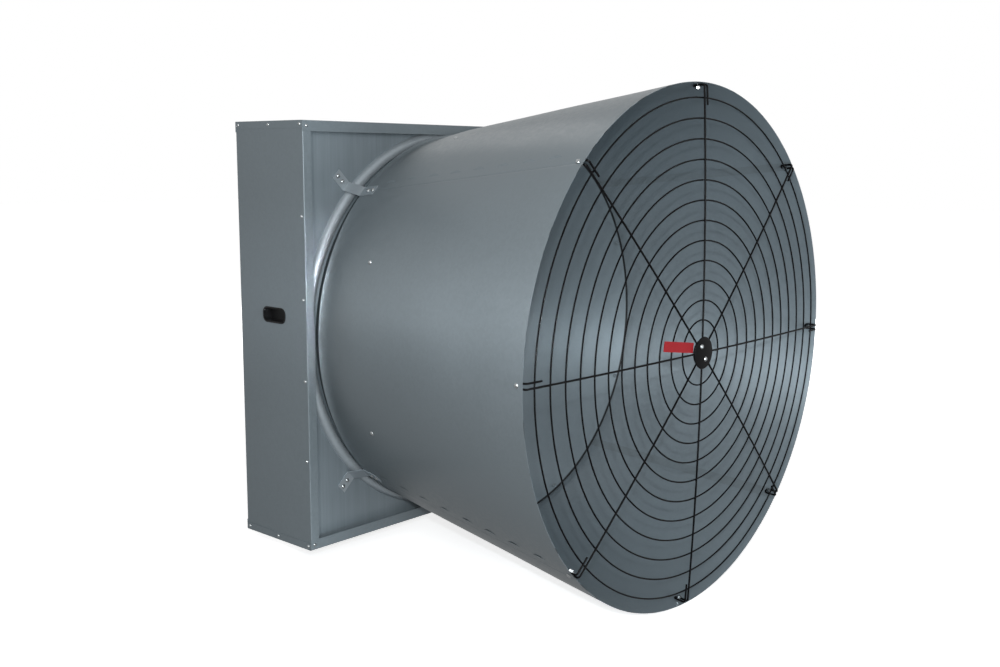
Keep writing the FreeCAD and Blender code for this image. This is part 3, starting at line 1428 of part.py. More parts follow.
def tensioner():
    """Belt tensioner: a plate on the right upright, a pivot pin, a swinging arm and an idler."""
    pivot, wheel = tensioner_layout()
    plate_back = f"({BEAM_BACK} + tension_plate)"
    arm_front = f"({plate_back} + arm_gap)"
    arm_back = f"({arm_front} + arm_gauge)"
    base = new_body("tensioner_base", named=False)
    plate = new_sketch(base, "XZ_Plane", "beam_back - tension_plate")
    low, high = "-arm_width / 2", "tension_plate_height - arm_width / 2"
    rectangle(plate, "-beam_width / 2 + beam_gauge", "beam_width / 2 - beam_gauge", low, high)
    circle(plate, "0", "0", "pivot_radius + fit_gap")
    pad(base, plate, "tension_plate")
    base.Placement.Base = pivot
    drilled("tensioner_base", base, bolt_drills(tension_spots(), number("tension_plate") + DRILL_SPARE))
    pin = new_body("tensioner_pin")
    foot = f"{BEAM_BACK} + seam_gap"
    collar = f"({arm_back} + arm_gap)"
    top = f"{collar} + pivot_head"
    revolve(pin, [
        ("0", foot), ("pivot_radius", foot), ("pivot_radius", collar),
        ("pivot_head_radius", collar), ("pivot_head_radius", top), ("0", top),
    ])
    pin.Placement.Base = pivot
    arm = new_body("tensioner_arm")
    bar = new_sketch(arm, "XZ_Plane", f"-{arm_back}")
    rounded_box(bar, ("arm_length / 2", "0"), "arm_length + arm_width", "arm_width", "arm_corner")
    circle(bar, "0", "0", "pivot_radius + fit_gap")
    circle(bar, "arm_length", "0", "idler_bolt_radius + fit_gap")
    pad(arm, bar, "arm_gauge")
    heading = wheel - pivot
    angle = math.degrees(math.atan2(heading.z, heading.x))
    arm.Placement = FreeCAD.Placement(pivot, FreeCAD.Rotation(BACK, -angle))
    roller = new_body("idler_pulley")
    front, back = f"({BELT_MID} - idler_width / 2)", f"({BELT_MID} + idler_width / 2)"
    bore = "(idler_bolt_radius + fit_gap)"
    revolve(roller, [
        (bore, front), ("idler_hub_radius", front), ("idler_hub_radius", f"{front} + idler_width / 4"),
        ("idler_rim_radius", f"{front} + idler_width / 4"), ("idler_rim_radius", front),
        ("idler_radius", front), ("idler_radius", back), (bore, back),
    ])
    roller.Placement.Base = wheel
    shank = number("idler_bolt_radius")
    hole = number("idler_bolt_radius + fit_gap")
    shoulder = number("idler_bolt_radius + idler_head_wall")
    head = wheel + BACK * number(f"{back} + arm_gap")
    nut = wheel + BACK * number(f"{arm_front} - seam_gap / 2")
    reach = number(f"{back} - {arm_front} + arm_gap + bolt_nut + bolt_spare")
    spacer_start = wheel + BACK * number(f"{arm_back} + seam_gap / 2")
    spacer_length = number(f"{front} - {arm_back} - arm_gap")
    spacer = Part.makeCylinder(shoulder, spacer_length, spacer_start, BACK)
    group("idler_bolt", [
        dome_head(head, BACK, shoulder, number("bolt_head"), shank, reach),
        spacer.cut(rod(wheel, BACK, hole, 0, number("beam_back"))),
        hex_nut(nut, -BACK, number("idler_nut_across"), number("bolt_nut"), hole),
    ])


def build_all():
    """Build every sub-part, frame first."""
    cap_drill = number("2 * housing_gauge")
    housing_cap("housing_top_cap", 1, bolt_drills(beam_spots(), cap_drill))
    housing_cap("housing_bottom_cap", -1, bolt_drills(beam_spots() + stand_spots(), cap_drill))
    for label, side in (("left", -1), ("right", 1)):
        housing_side(f"housing_{label}_side", side)
        hand_grip(f"hand_grip_{label}", side)
        upright(f"beam_{label}", side)
    orifice_panel()
    orifice_ring()
    for label, angle in (("right", 0), ("top", 90), ("left", 180), ("bottom", 270)):
        cone_panel(f"cone_panel_{label}", angle)
    for index, angle in enumerate(CORNER_ANGLES, start=1):
        cone_clip(f"cone_clip_{index}", angle)
    cone_fasteners()
    housing_screws()
    guard_rings()
    guard_spokes()
    guard_hub()
    inlet_guard()
    bearing_block()
    fan_shaft()
    fan_pulley()
    propeller_hub()
    for index, angle in enumerate(blade_angles(), start=1):
        propeller_blade(f"propeller_blade_{index}", angle)
    propeller_bolts()
    motor_frame()
    motor_covers()
    motor_shaft()
    motor_pulley()
    terminal_box()
    motor_stand()
    tensioner()
    drive_belt()
    frame_bolts()


build_all()
doc.recompute()

for item in doc.Objects:
    if "Invalid" in item.State or "Error" in item.State:
        raise RuntimeError(f"{item.Name} did not build: {item.State}")

os.makedirs("parts", exist_ok=True)
for item in parts:
    if item.Shape.isNull() or not item.Shape.isValid() or not item.Shape.Solids:
        raise RuntimeError(f"{item.Label} has no valid solid")
    item.Shape.exportStep(f"parts/{item.Label}.step")
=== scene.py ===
"""Looks of a belt-driven cone fan: galvanised sheet, black wire guard and a plain studio."""

import json
import logging
import math
from dataclasses import dataclass, replace
from enum import Enum
from functools import cache

import bpy
import numpy as np
from mathutils import Matrix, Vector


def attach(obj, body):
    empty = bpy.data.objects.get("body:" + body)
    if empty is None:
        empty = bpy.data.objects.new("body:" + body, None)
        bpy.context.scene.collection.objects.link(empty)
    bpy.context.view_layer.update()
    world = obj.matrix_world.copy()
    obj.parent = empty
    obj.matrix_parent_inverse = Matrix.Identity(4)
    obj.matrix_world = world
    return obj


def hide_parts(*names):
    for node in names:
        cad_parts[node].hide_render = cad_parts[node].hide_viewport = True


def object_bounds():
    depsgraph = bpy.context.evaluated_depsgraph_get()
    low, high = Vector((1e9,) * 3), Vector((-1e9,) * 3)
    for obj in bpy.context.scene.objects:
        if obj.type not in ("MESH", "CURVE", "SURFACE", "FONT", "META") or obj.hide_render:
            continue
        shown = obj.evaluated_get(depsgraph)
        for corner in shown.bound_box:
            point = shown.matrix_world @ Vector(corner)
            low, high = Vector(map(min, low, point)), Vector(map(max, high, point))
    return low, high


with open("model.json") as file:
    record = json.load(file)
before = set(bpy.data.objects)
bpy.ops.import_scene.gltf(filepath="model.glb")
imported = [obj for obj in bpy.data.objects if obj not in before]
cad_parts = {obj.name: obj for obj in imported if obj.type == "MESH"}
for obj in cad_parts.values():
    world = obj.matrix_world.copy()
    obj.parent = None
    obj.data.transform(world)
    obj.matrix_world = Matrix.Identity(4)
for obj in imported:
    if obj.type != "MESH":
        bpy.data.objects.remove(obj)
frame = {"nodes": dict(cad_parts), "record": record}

LOG = logging.getLogger("cone_fan")
CAD_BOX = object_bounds()
MM = 0.001
WHITE = (1.0, 1.0, 1.0, 1.0)
# Body that carries every piece made here
HOUSING = "housing"
# Edges that turn by more than this many degrees stay crisp
CRISP = 35.0
# Share of the slow clouding in a finish; the grain has the rest
CLOUD_SHARE = 0.6
# Number of the colour output of a mix node
MIXED_COLOUR = 2
# Direction that no wire starts along, from which its first frame is squared up
ASIDE = (0.0, 0.3, 1.0)

Place = tuple[float, float, float]


class Slot(Enum):
    """Material slots of the part's record."""

    SHEET = "galvanised_sheet"
    FASTENER = "zinc_fasteners"
    BLACK_WIRE = "black_wire"
    ZINC_WIRE = "galvanised_wire"
    BLACK_PLASTIC = "black_plastic"
    RED_PLASTIC = "red_plastic"
    IRON = "cast_iron"
    STEEL = "bright_steel"
    MOTOR_PAINT = "motor_paint"
    BELT = "belt_rubber"


class Grain(Enum):
    """Kinds of surface grain that a finish can carry."""

    SPANGLE = "zinc crystals"
    ROLLED = "upright rolling streaks"
    CAST = "sand-cast skin"
    MOULDED = "moulded texture"
    TURNED = "turning marks"


class Measure(Enum):
    """What a darker zone is measured along."""

    LEVEL = "level of y"
    REACH = "distance from the fan axis"


def linear(colour: str) -> tuple[float, float, float, float]:
    """Turn an sRGB hex colour into a linear one.

    Args:
        colour: Six hex digits.

    Returns:
        Linear red, green, blue and an alpha of 1.
    """
    parts = [int(colour[index:index + 2], 16) / 255 for index in (0, 2, 4)]
    red, green, blue = (part / 12.92 if part <= 0.04045 else ((part + 0.055) / 1.055) ** 2.4
                        for part in parts)
    return red, green, blue, 1.0


def add_node(tree: bpy.types.NodeTree, kind: str, settings: dict | None = None, *ordered: object,
             **named: object) -> bpy.types.Node:
    """Add a shader node, set its properties and fill or link its inputs.

    Args:
        tree: Node tree that takes the node.
        kind: Blender's name of the node type.
        settings: Properties of the node by name.
        *ordered: Values or linked sockets for the node's inputs, in their order.
        **named: Values or linked sockets by the input's name, with spaces as underscores.

    Returns:
        The new node.
    """
    made = tree.nodes.new(kind)
    for name, value in (settings or {}).items():
        setattr(made, name, value)
    wells = [well for well in made.inputs if well.enabled]
    fills = list(zip(wells, ordered))
    for name, value in named.items():
        fills.append((next(well for well in wells if well.name == name.replace("_", " ")), value))
    for well, value in fills:
        if isinstance(value, bpy.types.NodeSocket):
            tree.links.new(value, well)
        else:
            well.default_value = value
    return made


@dataclass(frozen=True)
class DarkZone:
    """A darker zone of a finish, which on the duct's front edge is a painted shadow.

    Attributes:
        measure: What the zone is measured along.
        clear_mm: Distance at which the finish is still plain.
        full_mm: Distance at which the darker zone is full.
        colour: Colour of the darker zone, sRGB hex.
    """

    measure: Measure
    clear_mm: float
    full_mm: float
    colour: str

    def share(self, tree: bpy.types.NodeTree, place: bpy.types.NodeSocket) -> bpy.types.NodeSocket:
        """Add the nodes that measure the zone.

        Args:
            tree: Node tree that takes the nodes.
            place: Socket with the object coordinates.

        Returns:
            Socket that runs from 0 on the plain finish to 1 on the darker zone.
        """
        parts = add_node(tree, "ShaderNodeSeparateXYZ", Vector=place).outputs
        distance = parts["Y"]
        if self.measure is Measure.REACH:
            flat = add_node(tree, "ShaderNodeCombineXYZ", X=parts["X"], Y=parts["Z"]).outputs["Vector"]
            length = add_node(tree, "ShaderNodeVectorMath", {"operation": "LENGTH"}, Vector=flat)
            distance = length.outputs["Value"]
        return add_node(tree, "ShaderNodeMapRange", Value=distance, From_Min=self.clear_mm * MM,
                        From_Max=self.full_mm * MM, To_Min=0.0, To_Max=1.0).outputs["Result"]


@dataclass(frozen=True)
class Finish:
    """A real finish: its colours, gloss and grain.

    Attributes:
        name: Material and process, in plain words.
        colour: Main colour, sRGB hex.
        tint: Colour of the grain's other extreme, sRGB hex.
        roughness: Mean roughness.
        metallic: Share of metal reflection.
        grain: Kind of grain.
        grain_mm: Size of one grain.
        swing: Change of roughness from grain to grain.
        bump_mm: Height of the grain's relief.
        cloud_mm: Size of the slow, large variation.
        gloss: Strength of the clear reflection on top, 0.5 for common paint and plastic.
        dark_zone: Darker zone, if there is one.
        brushed: How far the marks of the rolls stretch a highlight along the fan axis, from 0 to 1.
    """

    name: str
    colour: str
    tint: str
    roughness: float
    metallic: float
    grain: Grain
    grain_mm: float
    swing: float
    bump_mm: float
    cloud_mm: float
    gloss: float = 0.5
    dark_zone: DarkZone | None = None
    brushed: float = 0.0

    @cache
    def material(self) -> bpy.types.Material:
        """Build the material once for all the pieces that carry it.

        Returns:
            The material with its grain, slow clouding and relief.
        """
        made = bpy.data.materials.new(self.name)
        made.use_nodes = True
        tree = made.node_tree
        tree.nodes.clear()
        place = add_node(tree, "ShaderNodeTexCoord").outputs["Object"]
        grain = self._grain(tree, place)
        cloud = add_node(tree, "ShaderNodeTexNoise", Vector=place, Scale=1 / (self.cloud_mm * MM), Detail=3.0,
                         Roughness=0.5).outputs["Fac"]
        fine = add_node(tree, "ShaderNodeMath", {"operation": "MULTIPLY"}, grain, 1 - CLOUD_SHARE).outputs[0]
        blend = add_node(tree, "ShaderNodeMath", {"operation": "MULTIPLY_ADD"}, cloud, CLOUD_SHARE,
                         fine).outputs[0]
        mix = {"data_type": "RGBA"}
        paint = add_node(tree, "ShaderNodeMix", mix, blend, linear(self.colour), linear(self.tint))
        metal = self.metallic
        # The darker zone; on the duct's front edge it is a painted shadow
        if self.dark_zone:
            share = self.dark_zone.share(tree, place)
            paint = add_node(tree, "ShaderNodeMix", mix, share, paint.outputs[MIXED_COLOUR],
                             linear(self.dark_zone.colour))
            metal = add_node(tree, "ShaderNodeMapRange", Value=share, To_Min=self.metallic,
                             To_Max=0.0).outputs["Result"]
        rough = add_node(tree, "ShaderNodeMapRange", Value=blend, From_Min=0.3, From_Max=0.7,
                         To_Min=self.roughness - self.swing,
                         To_Max=self.roughness + self.swing).outputs["Result"]
        relief = add_node(tree, "ShaderNodeBump", Height=grain, Strength=1.0,
                          Distance=self.bump_mm * MM).outputs["Normal"]
        marks = {}
        if self.brushed:
            along = add_node(tree, "ShaderNodeCombineXYZ", Y=1.0).outputs["Vector"]
            marks = {"Anisotropic": self.brushed, "Tangent": along}
        shader = add_node(tree, "ShaderNodeBsdfPrincipled", Base_Color=paint.outputs[MIXED_COLOUR],
                          Roughness=rough, Normal=relief, Metallic=metal,
                          Specular_IOR_Level=self.gloss, **marks)
        add_node(tree, "ShaderNodeOutputMaterial", Surface=shader.outputs["BSDF"])
        return made

    def _grain(self, tree: bpy.types.NodeTree, place: bpy.types.NodeSocket) -> bpy.types.NodeSocket:
        """Add the grain pattern at its real size.

        Args:
            tree: Node tree that takes the nodes.
            place: Socket with the object coordinates.

        Returns:
            Socket with the grain, from 0 to 1.
        """
        scale = 1 / (self.grain_mm * MM)
        if self.grain is Grain.SPANGLE:
            cells = add_node(tree, "ShaderNodeTexVoronoi", {"feature": "F1"}, Vector=place, Scale=scale)
            return add_node(tree, "ShaderNodeSeparateColor", Color=cells.outputs["Color"]).outputs["Red"]
        stretch = {Grain.TURNED: (1.0, 12.0, 1.0), Grain.ROLLED: (1.0, 1.0, 0.03)}.get(self.grain)
        if stretch:
            place = add_node(tree, "ShaderNodeMapping", Vector=place, Scale=stretch).outputs["Vector"]
        detail = 6.0 if self.grain is Grain.CAST else 2.0
        return add_node(tree, "ShaderNodeTexNoise", Vector=place, Scale=scale, Detail=detail).outputs["Fac"]


# Hot-dip galvanised sheet: dull blue-grey zinc with faint crystals and a soft sheen
GALVANISED = Finish("hot_dip_galvanised_sheet", "697277", "737c81", roughness=0.46, metallic=0.3,
                    grain=Grain.SPANGLE, grain_mm=9, swing=0.04, bump_mm=0.002, cloud_mm=320, gloss=0.3)
# The duct in the cone: the same sheet with a painted shadow, a dark band along its front edge that stands in
# for the shade in the gap between the duct's edge and the cone
DUCT_SHEET = replace(GALVANISED, name="galvanised_duct_sheet", colour="7a858c", tint="848f95", roughness=0.52,
                     metallic=0.55, brushed=0.85, dark_zone=DarkZone(Measure.LEVEL, -598, -601, "141618"))
# The outside of the duct behind the cone's edge, painted dark as the shade in the gap between the cone's edge
# and the bead
PAINTED_SHADE_SHEET = replace(GALVANISED, name="painted_shade_duct_sheet", colour="2e3437", tint="3a4144", metallic=0.1,
                      gloss=0.1)
# The cone's panels outside, where the marks of the rolls draw the highlights out along the cone
CONE_SHEET = replace(GALVANISED, name="rolled_cone_sheet", roughness=0.4, metallic=0.4, brushed=0.8)
# The same panels inside in a lighter copy of the sheet: painted light that stands in for the brighter light
# inside the cone
CONE_INSIDE = replace(GALVANISED, name="rolled_cone_inside", colour="707a80", tint="7a848a", metallic=0.45,
                      brushed=0.8)
# The same sheet as the mill leaves it, with faint upright streaks from the rolls
ROLLED_SHEET = Finish("rolled_galvanised_sheet", "5f696f", "8b959b", roughness=0.42, metallic=0.4,
                      grain=Grain.ROLLED, grain_mm=9, swing=0.05, bump_mm=0.002, cloud_mm=300, gloss=0.3)
# The panel's bead, in a lighter grey than the sheet
ROLLED_BEAD = replace(GALVANISED, name="lighter_bead_sheet", colour="878f95", tint="959da2", roughness=0.5,
                      metallic=0.4)
# Zinc-plated flat bar of the clips, lighter and smoother than the sheet
PLATED_BAR = Finish("zinc_plated_bar", "969ea4", "a3abb0", roughness=0.36, metallic=0.6, grain=Grain.MOULDED,
                    grain_mm=6, swing=0.05, bump_mm=0.004, cloud_mm=60)
# Zinc-plated fasteners: small, bright and slightly cloudy domes
ZINC = Finish("zinc_plated_steel", "a3a7a8", "8e9294", roughness=0.28, metallic=1.0, grain=Grain.MOULDED,
              grain_mm=3, swing=0.06, bump_mm=0.01, cloud_mm=20)
# The same on the neck's bolts, whose nuts inside the duct are a darker grey
DULLED_ZINC = replace(ZINC, name="dulled_zinc_plated_steel", dark_zone=DarkZone(Measure.REACH, 692, 688, "687176"))
# Black powder coat on drawn wire: near black with a satin sheen and a fine orange peel
POWDER_BLACK = Finish("black_powder_coat", "030304", "070708", roughness=0.4, metallic=0.0,
                      grain=Grain.MOULDED, grain_mm=2, swing=0.06, bump_mm=0.01, cloud_mm=90, gloss=0.08)
# Galvanised drawn wire and flat bar of the inlet guard: grey, slightly rough metal
WIRE_ZINC = Finish("galvanised_drawn_wire", "8b9092", "777d80", roughness=0.4, metallic=0.8,
                   grain=Grain.MOULDED, grain_mm=5, swing=0.08, bump_mm=0.01, cloud_mm=60)
# Moulded black polypropylene: matte, with the grain of a spark-eroded mould
MOULDED_BLACK = Finish("moulded_polypropylene", "0c0c0d", "111213", roughness=0.5, metallic=0.0,
                       grain=Grain.MOULDED, grain_mm=1.5, swing=0.06, bump_mm=0.02, cloud_mm=40, gloss=0.2)
# Red plate of moulded plastic: satin, slightly faded
MOULDED_RED = Finish("moulded_red_plastic", "8e0d17", "780a13", roughness=0.42, metallic=0.0,
                     grain=Grain.MOULDED, grain_mm=4, swing=0.05, bump_mm=0.01, cloud_mm=60, gloss=0.3)
# Grey cast iron under thin oil: dark, with a sandy skin
CAST_IRON = Finish("grey_cast_iron", "4a4b4d", "3a3b3d", roughness=0.55, metallic=0.7, grain=Grain.CAST,
                   grain_mm=4, swing=0.1, bump_mm=0.08, cloud_mm=50)
# Ground steel of the shafts and bearing rings: bright, with fine marks round the axis
GROUND_STEEL = Finish("ground_steel", "a5a7aa", "94969a", roughness=0.25, metallic=1.0, grain=Grain.TURNED,
                      grain_mm=3, swing=0.06, bump_mm=0.004, cloud_mm=30)
# Satin enamel on the motor's casting, whose skin shows through
ENAMEL = Finish("satin_enamel", "3b4856", "34414e", roughness=0.4, metallic=0.0, grain=Grain.CAST,
                grain_mm=6, swing=0.06, bump_mm=0.03, cloud_mm=80)
# Cloth-wrapped rubber of the belt: dull black with a fine grain
BELT_RUBBER = Finish("wrapped_belt_rubber", "1a1a1a", "232322", roughness=0.75, metallic=0.0,
                     grain=Grain.MOULDED, grain_mm=1.2, swing=0.08, bump_mm=0.04, cloud_mm=40)

SLOT_FINISHES: dict[Slot, Finish] = {
    Slot.SHEET: GALVANISED,
    Slot.FASTENER: ZINC,
    Slot.BLACK_WIRE: POWDER_BLACK,
    Slot.ZINC_WIRE: WIRE_ZINC,
    Slot.BLACK_PLASTIC: MOULDED_BLACK,
    Slot.RED_PLASTIC: MOULDED_RED,
    Slot.IRON: CAST_IRON,
    Slot.STEEL: GROUND_STEEL,
    Slot.MOTOR_PAINT: ENAMEL,
    Slot.BELT: BELT_RUBBER,
}

NODE_FINISHES: dict[str, Finish] = {f"cone_clip_{number}": PLATED_BAR for number in (1, 2, 3, 4)}
NODE_FINISHES["cone_neck_bolts"] = DULLED_ZINC


def metres(x: np.ndarray, y: np.ndarray | float, z: np.ndarray) -> np.ndarray:
    """Put coordinates in millimetres, over any parameters they share, together as points in metres."""
    return MM * np.stack(np.broadcast_arrays(x, y, z), axis=-1)


def about_axis(points: np.ndarray, degrees: np.ndarray) -> np.ndarray:
    """Turn points about the fan axis (Y), from +X towards +Z.

    Args:
        points: Array whose last axis is x, y, z.
        degrees: Angle, or angles that broadcast with the points' other axes.

    Returns:
        The turned points.
    """
    angle = np.radians(degrees)
    cosine, sine = np.cos(angle), np.sin(angle)
    x, y, z = points[..., 0], points[..., 1], points[..., 2]
    return np.stack(np.broadcast_arrays(x * cosine - z * sine, y, x * sine + z * cosine), axis=-1)


def grid_faces(rows: int, columns: int, wrap_rows: bool = False, wrap_columns: bool = False) -> np.ndarray:
    """Index the quads of a grid of points.

    Args:
        rows: Points along the first parameter.
        columns: Points along the second parameter.
        wrap_rows: Join the last row to the first.
        wrap_columns: Join the last column to the first.

    Returns:
        Array of shape (quads, 4).
    """
    row = np.arange(rows if wrap_rows else rows - 1)[:, None]
    column = np.arange(columns if wrap_columns else columns - 1)[None, :]
    next_row, next_column = (row + 1) % rows, (column + 1) % columns
    corners = [row * columns + column, row * columns + next_column,
               next_row * columns + next_column, next_row * columns + column]
    return np.stack(np.broadcast_arrays(*corners), axis=-1).reshape(-1, 4)


@dataclass
class Surface:
    """Points and quads of a growing surface.

    Attributes:
        points: Vertex positions, in metres.
        quads: Vertex indices of the faces.
        marks: Number of each face's finish; all 0 if it is left out.
    """

    points: np.ndarray
    quads: np.ndarray
    marks: np.ndarray | None = None

    def __post_init__(self) -> None:
        """Fill in the marks."""
        if self.marks is None:
            self.marks = np.zeros(len(self.quads), dtype=int)

    @classmethod
    def grid(cls, points: np.ndarray, wrap_rows: bool = False, wrap_columns: bool = False) -> "Surface":
        """Make a surface from an array of points over two parameters.

        Args:
            points: Array of shape (rows, columns, 3).
            wrap_rows: Close the surface along the first parameter.
            wrap_columns: Close the surface along the second parameter.

        Returns:
            The surface.
        """
        rows, columns, _ = points.shape
        return cls(points.reshape(-1, 3), grid_faces(rows, columns, wrap_rows, wrap_columns))

    @classmethod
    def joined(cls, *surfaces: "Surface") -> "Surface":
        """Put several surfaces into one, without welding them.

        Args:
            *surfaces: The surfaces, in order.

        Returns:
            One surface with all their points, faces and marks.
        """
        starts = np.cumsum([0] + [len(item.points) for item in surfaces[:-1]])
        quads = [item.quads + start for item, start in zip(surfaces, starts)]
        marks = np.concatenate([item.marks for item in surfaces])
        return cls(np.concatenate([item.points for item in surfaces]), np.concatenate(quads), marks)

    def turned(self, degrees: float) -> "Surface":
        """Return the surface turned about the fan axis, from +X towards +Z."""
        return Surface(about_axis(self.points, np.array(degrees)), self.quads, self.marks)

    def flipped(self) -> "Surface":
        """Return the surface with its faces turned over."""
        return Surface(self.points, self.quads[:, ::-1], self.marks)

    def piece(self, name: str, finishes: tuple[Finish, ...], slot: Slot, node: str | None = None) -> None:
        """Make the surface an object at the origin that rides on the housing.

        Args:
            name: Name of the piece.
            finishes: Finishes of the piece, in the order of its marks.
            slot: Material slot of the piece; not used.
            node: CAD node that it replaces, if there is one.
        """
        mesh = bpy.data.meshes.new(name)
        mesh.from_pydata(self.points, [], self.quads)
        mesh.validate()
        mesh.shade_smooth()
        mesh.set_sharp_from_angle(angle=math.radians(CRISP))
        for finish in finishes:
            mesh.materials.append(finish.material())
        mesh.polygons.foreach_set("material_index", self.marks)
        made = bpy.data.objects.new(name, mesh)
        bpy.context.scene.collection.objects.link(made)
        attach(made, HOUSING)
        if node:
            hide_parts(node)
        LOG.info("%s: %d faces", name, len(mesh.polygons))


def spun(profile: np.ndarray, steps: int) -> Surface:
    """Turn a closed profile once round the fan axis: each corner becomes a circle.

    Args:
        profile: Corners as radius and y, shape (n, 2).
        steps: Stations round the axis.

    Returns:
        The closed surface.
    """
    flat = np.stack([profile[:, 0], profile[:, 1], np.zeros(len(profile))], axis=-1)
    angles = np.linspace(0, 360, steps, endpoint=False)
    return Surface.grid(about_axis(flat[None], angles[:, None]), wrap_rows=True, wrap_columns=True)


def arc(middle: tuple[float, float], radius: float, start: float, end: float, steps: int = 9) -> np.ndarray:
    """Sample an arc: middle plus radius times (cos, sin) of evenly spaced angles.

    Args:
        middle: Middle of the arc.
        radius: Its radius.
        start: First angle in degrees.
        end: Last angle in degrees.
        steps: Number of points.

    Returns:
        The points, shape (steps, 2).
    """
    angle = np.radians(np.linspace(start, end, steps))
    return np.stack([middle[0] + radius * np.cos(angle), middle[1] + radius * np.sin(angle)], axis=-1)


def tube(path: np.ndarray, radius: float, sides: int) -> Surface:
    """Carry a circle along a path; each station's frame is turned as little as possible from the last.

    Args:
        path: Stations of the wire's middle, shape (n, 3).
        radius: Wire radius.
        sides: Points round the wire.

    Returns:
        The tube with capped ends.
    """
    heading = np.gradient(path, axis=0)
    heading /= np.linalg.norm(heading, axis=1, keepdims=True)
    side = np.zeros_like(path)
    side[0] = np.cross(heading[0], ASIDE)
    for index in range(1, len(path)):
        side[index] = side[index - 1] - heading[index] * np.dot(side[index - 1], heading[index])
    side /= np.linalg.norm(side, axis=1, keepdims=True)
    other = np.cross(heading, side)
    turn = np.linspace(0, 2 * np.pi, sides, endpoint=False)
    ring = np.cos(turn)[None, :, None] * side[:, None] + np.sin(turn)[None, :, None] * other[:, None]
    body = path[:, None] + radius * ring
    caps = [np.repeat(path[index:index + 1, None], sides, axis=1) for index in (0, -1)]
    return Surface.grid(np.concatenate([caps[0], body, caps[1]]), wrap_columns=True)


def rounded_path(corners: np.ndarray, radii: list[float], steps: int = 9) -> np.ndarray:
    """Join corners by straight runs with a tangent arc at each inner corner.

    Args:
        corners: Corner points, shape (n, 3).
        radii: Bend radius of each inner corner.
        steps: Stations on an arc.

    Returns:
        Stations along the path: on each arc, the radii to its two ends blended by sines.
    """
    pieces = [corners[:1]]
    for corner, before, after, radius in zip(corners[1:-1], corners[:-2], corners[2:], radii):
        back = (before - corner) / np.linalg.norm(before - corner)
        onward = (after - corner) / np.linalg.norm(after - corner)
        half = math.acos(np.clip(np.dot(back, onward), -1, 1)) / 2
        middle = corner + (back + onward) / np.linalg.norm(back + onward) * radius / math.sin(half)
        first = corner + back * radius / math.tan(half) - middle
        last = corner + onward * radius / math.tan(half) - middle
        share = np.linspace(0, 1, steps)[:, None]
        sweep = math.pi - 2 * half
        bend = (np.sin((1 - share) * sweep) * first + np.sin(share * sweep) * last) / math.sin(sweep)
        pieces.append(middle + bend)
    pieces.append(corners[-1:])
    return np.concatenate(pieces)


@dataclass(frozen=True)
class ConeShape:
    """Sizes of the discharge cone, in millimetres, as the solids have them.

    Attributes:
        base_y: Level of the cone's edge at the housing.
        mouth_y: Level of the mouth.
        base_radius: Outer radius at the housing.
        mouth_radius: Outer radius at the mouth.
        gauge: Sheet thickness.
        half_angle: Angle from a panel's middle to its seams, in degrees.
        dip_run: Distance from the edge at the housing to the deepest part of the dip in front of it.
        dip: Depth of that dip at a panel's middle; the clips hold the sheet straight at the seams.
    """

    base_y: float = -366.0
    mouth_y: float = -1338.0
    base_radius: float = 659.8
    mouth_radius: float = 800.0
    gauge: float = 1.2
    half_angle: float = 45.0
    dip_run: float = 32.0
    dip: float = 11.0

    def share(self, level: np.ndarray | float) -> np.ndarray | float:
        """Return how far a level of y lies from the base, 0, to the mouth, 1."""
        return (self.base_y - level) / (self.base_y - self.mouth_y)

    def radius(self, level: np.ndarray | float) -> np.ndarray | float:
        """Return the outer radius at a level of y: a straight line from base to mouth."""
        return self.base_radius + self.share(level) * (self.mouth_radius - self.base_radius)

    def dipped(self, level: np.ndarray, angle: np.ndarray) -> np.ndarray:
        """Give the dip that leaves the edge flared: depth times s exp(1 - s), s the distance in dip runs.

        Args:
            level: Levels of y in millimetres.
            angle: Angles in degrees from a panel's middle.

        Returns:
            Radial offsets in millimetres, which fall to nothing at the edge and at the seams.
        """
        depth = self.dip * (1 - np.clip(np.abs(angle) / self.half_angle, 0, 1) ** 2)
        runs = (self.base_y - level) / self.dip_run
        return depth * runs * np.exp(1 - runs)


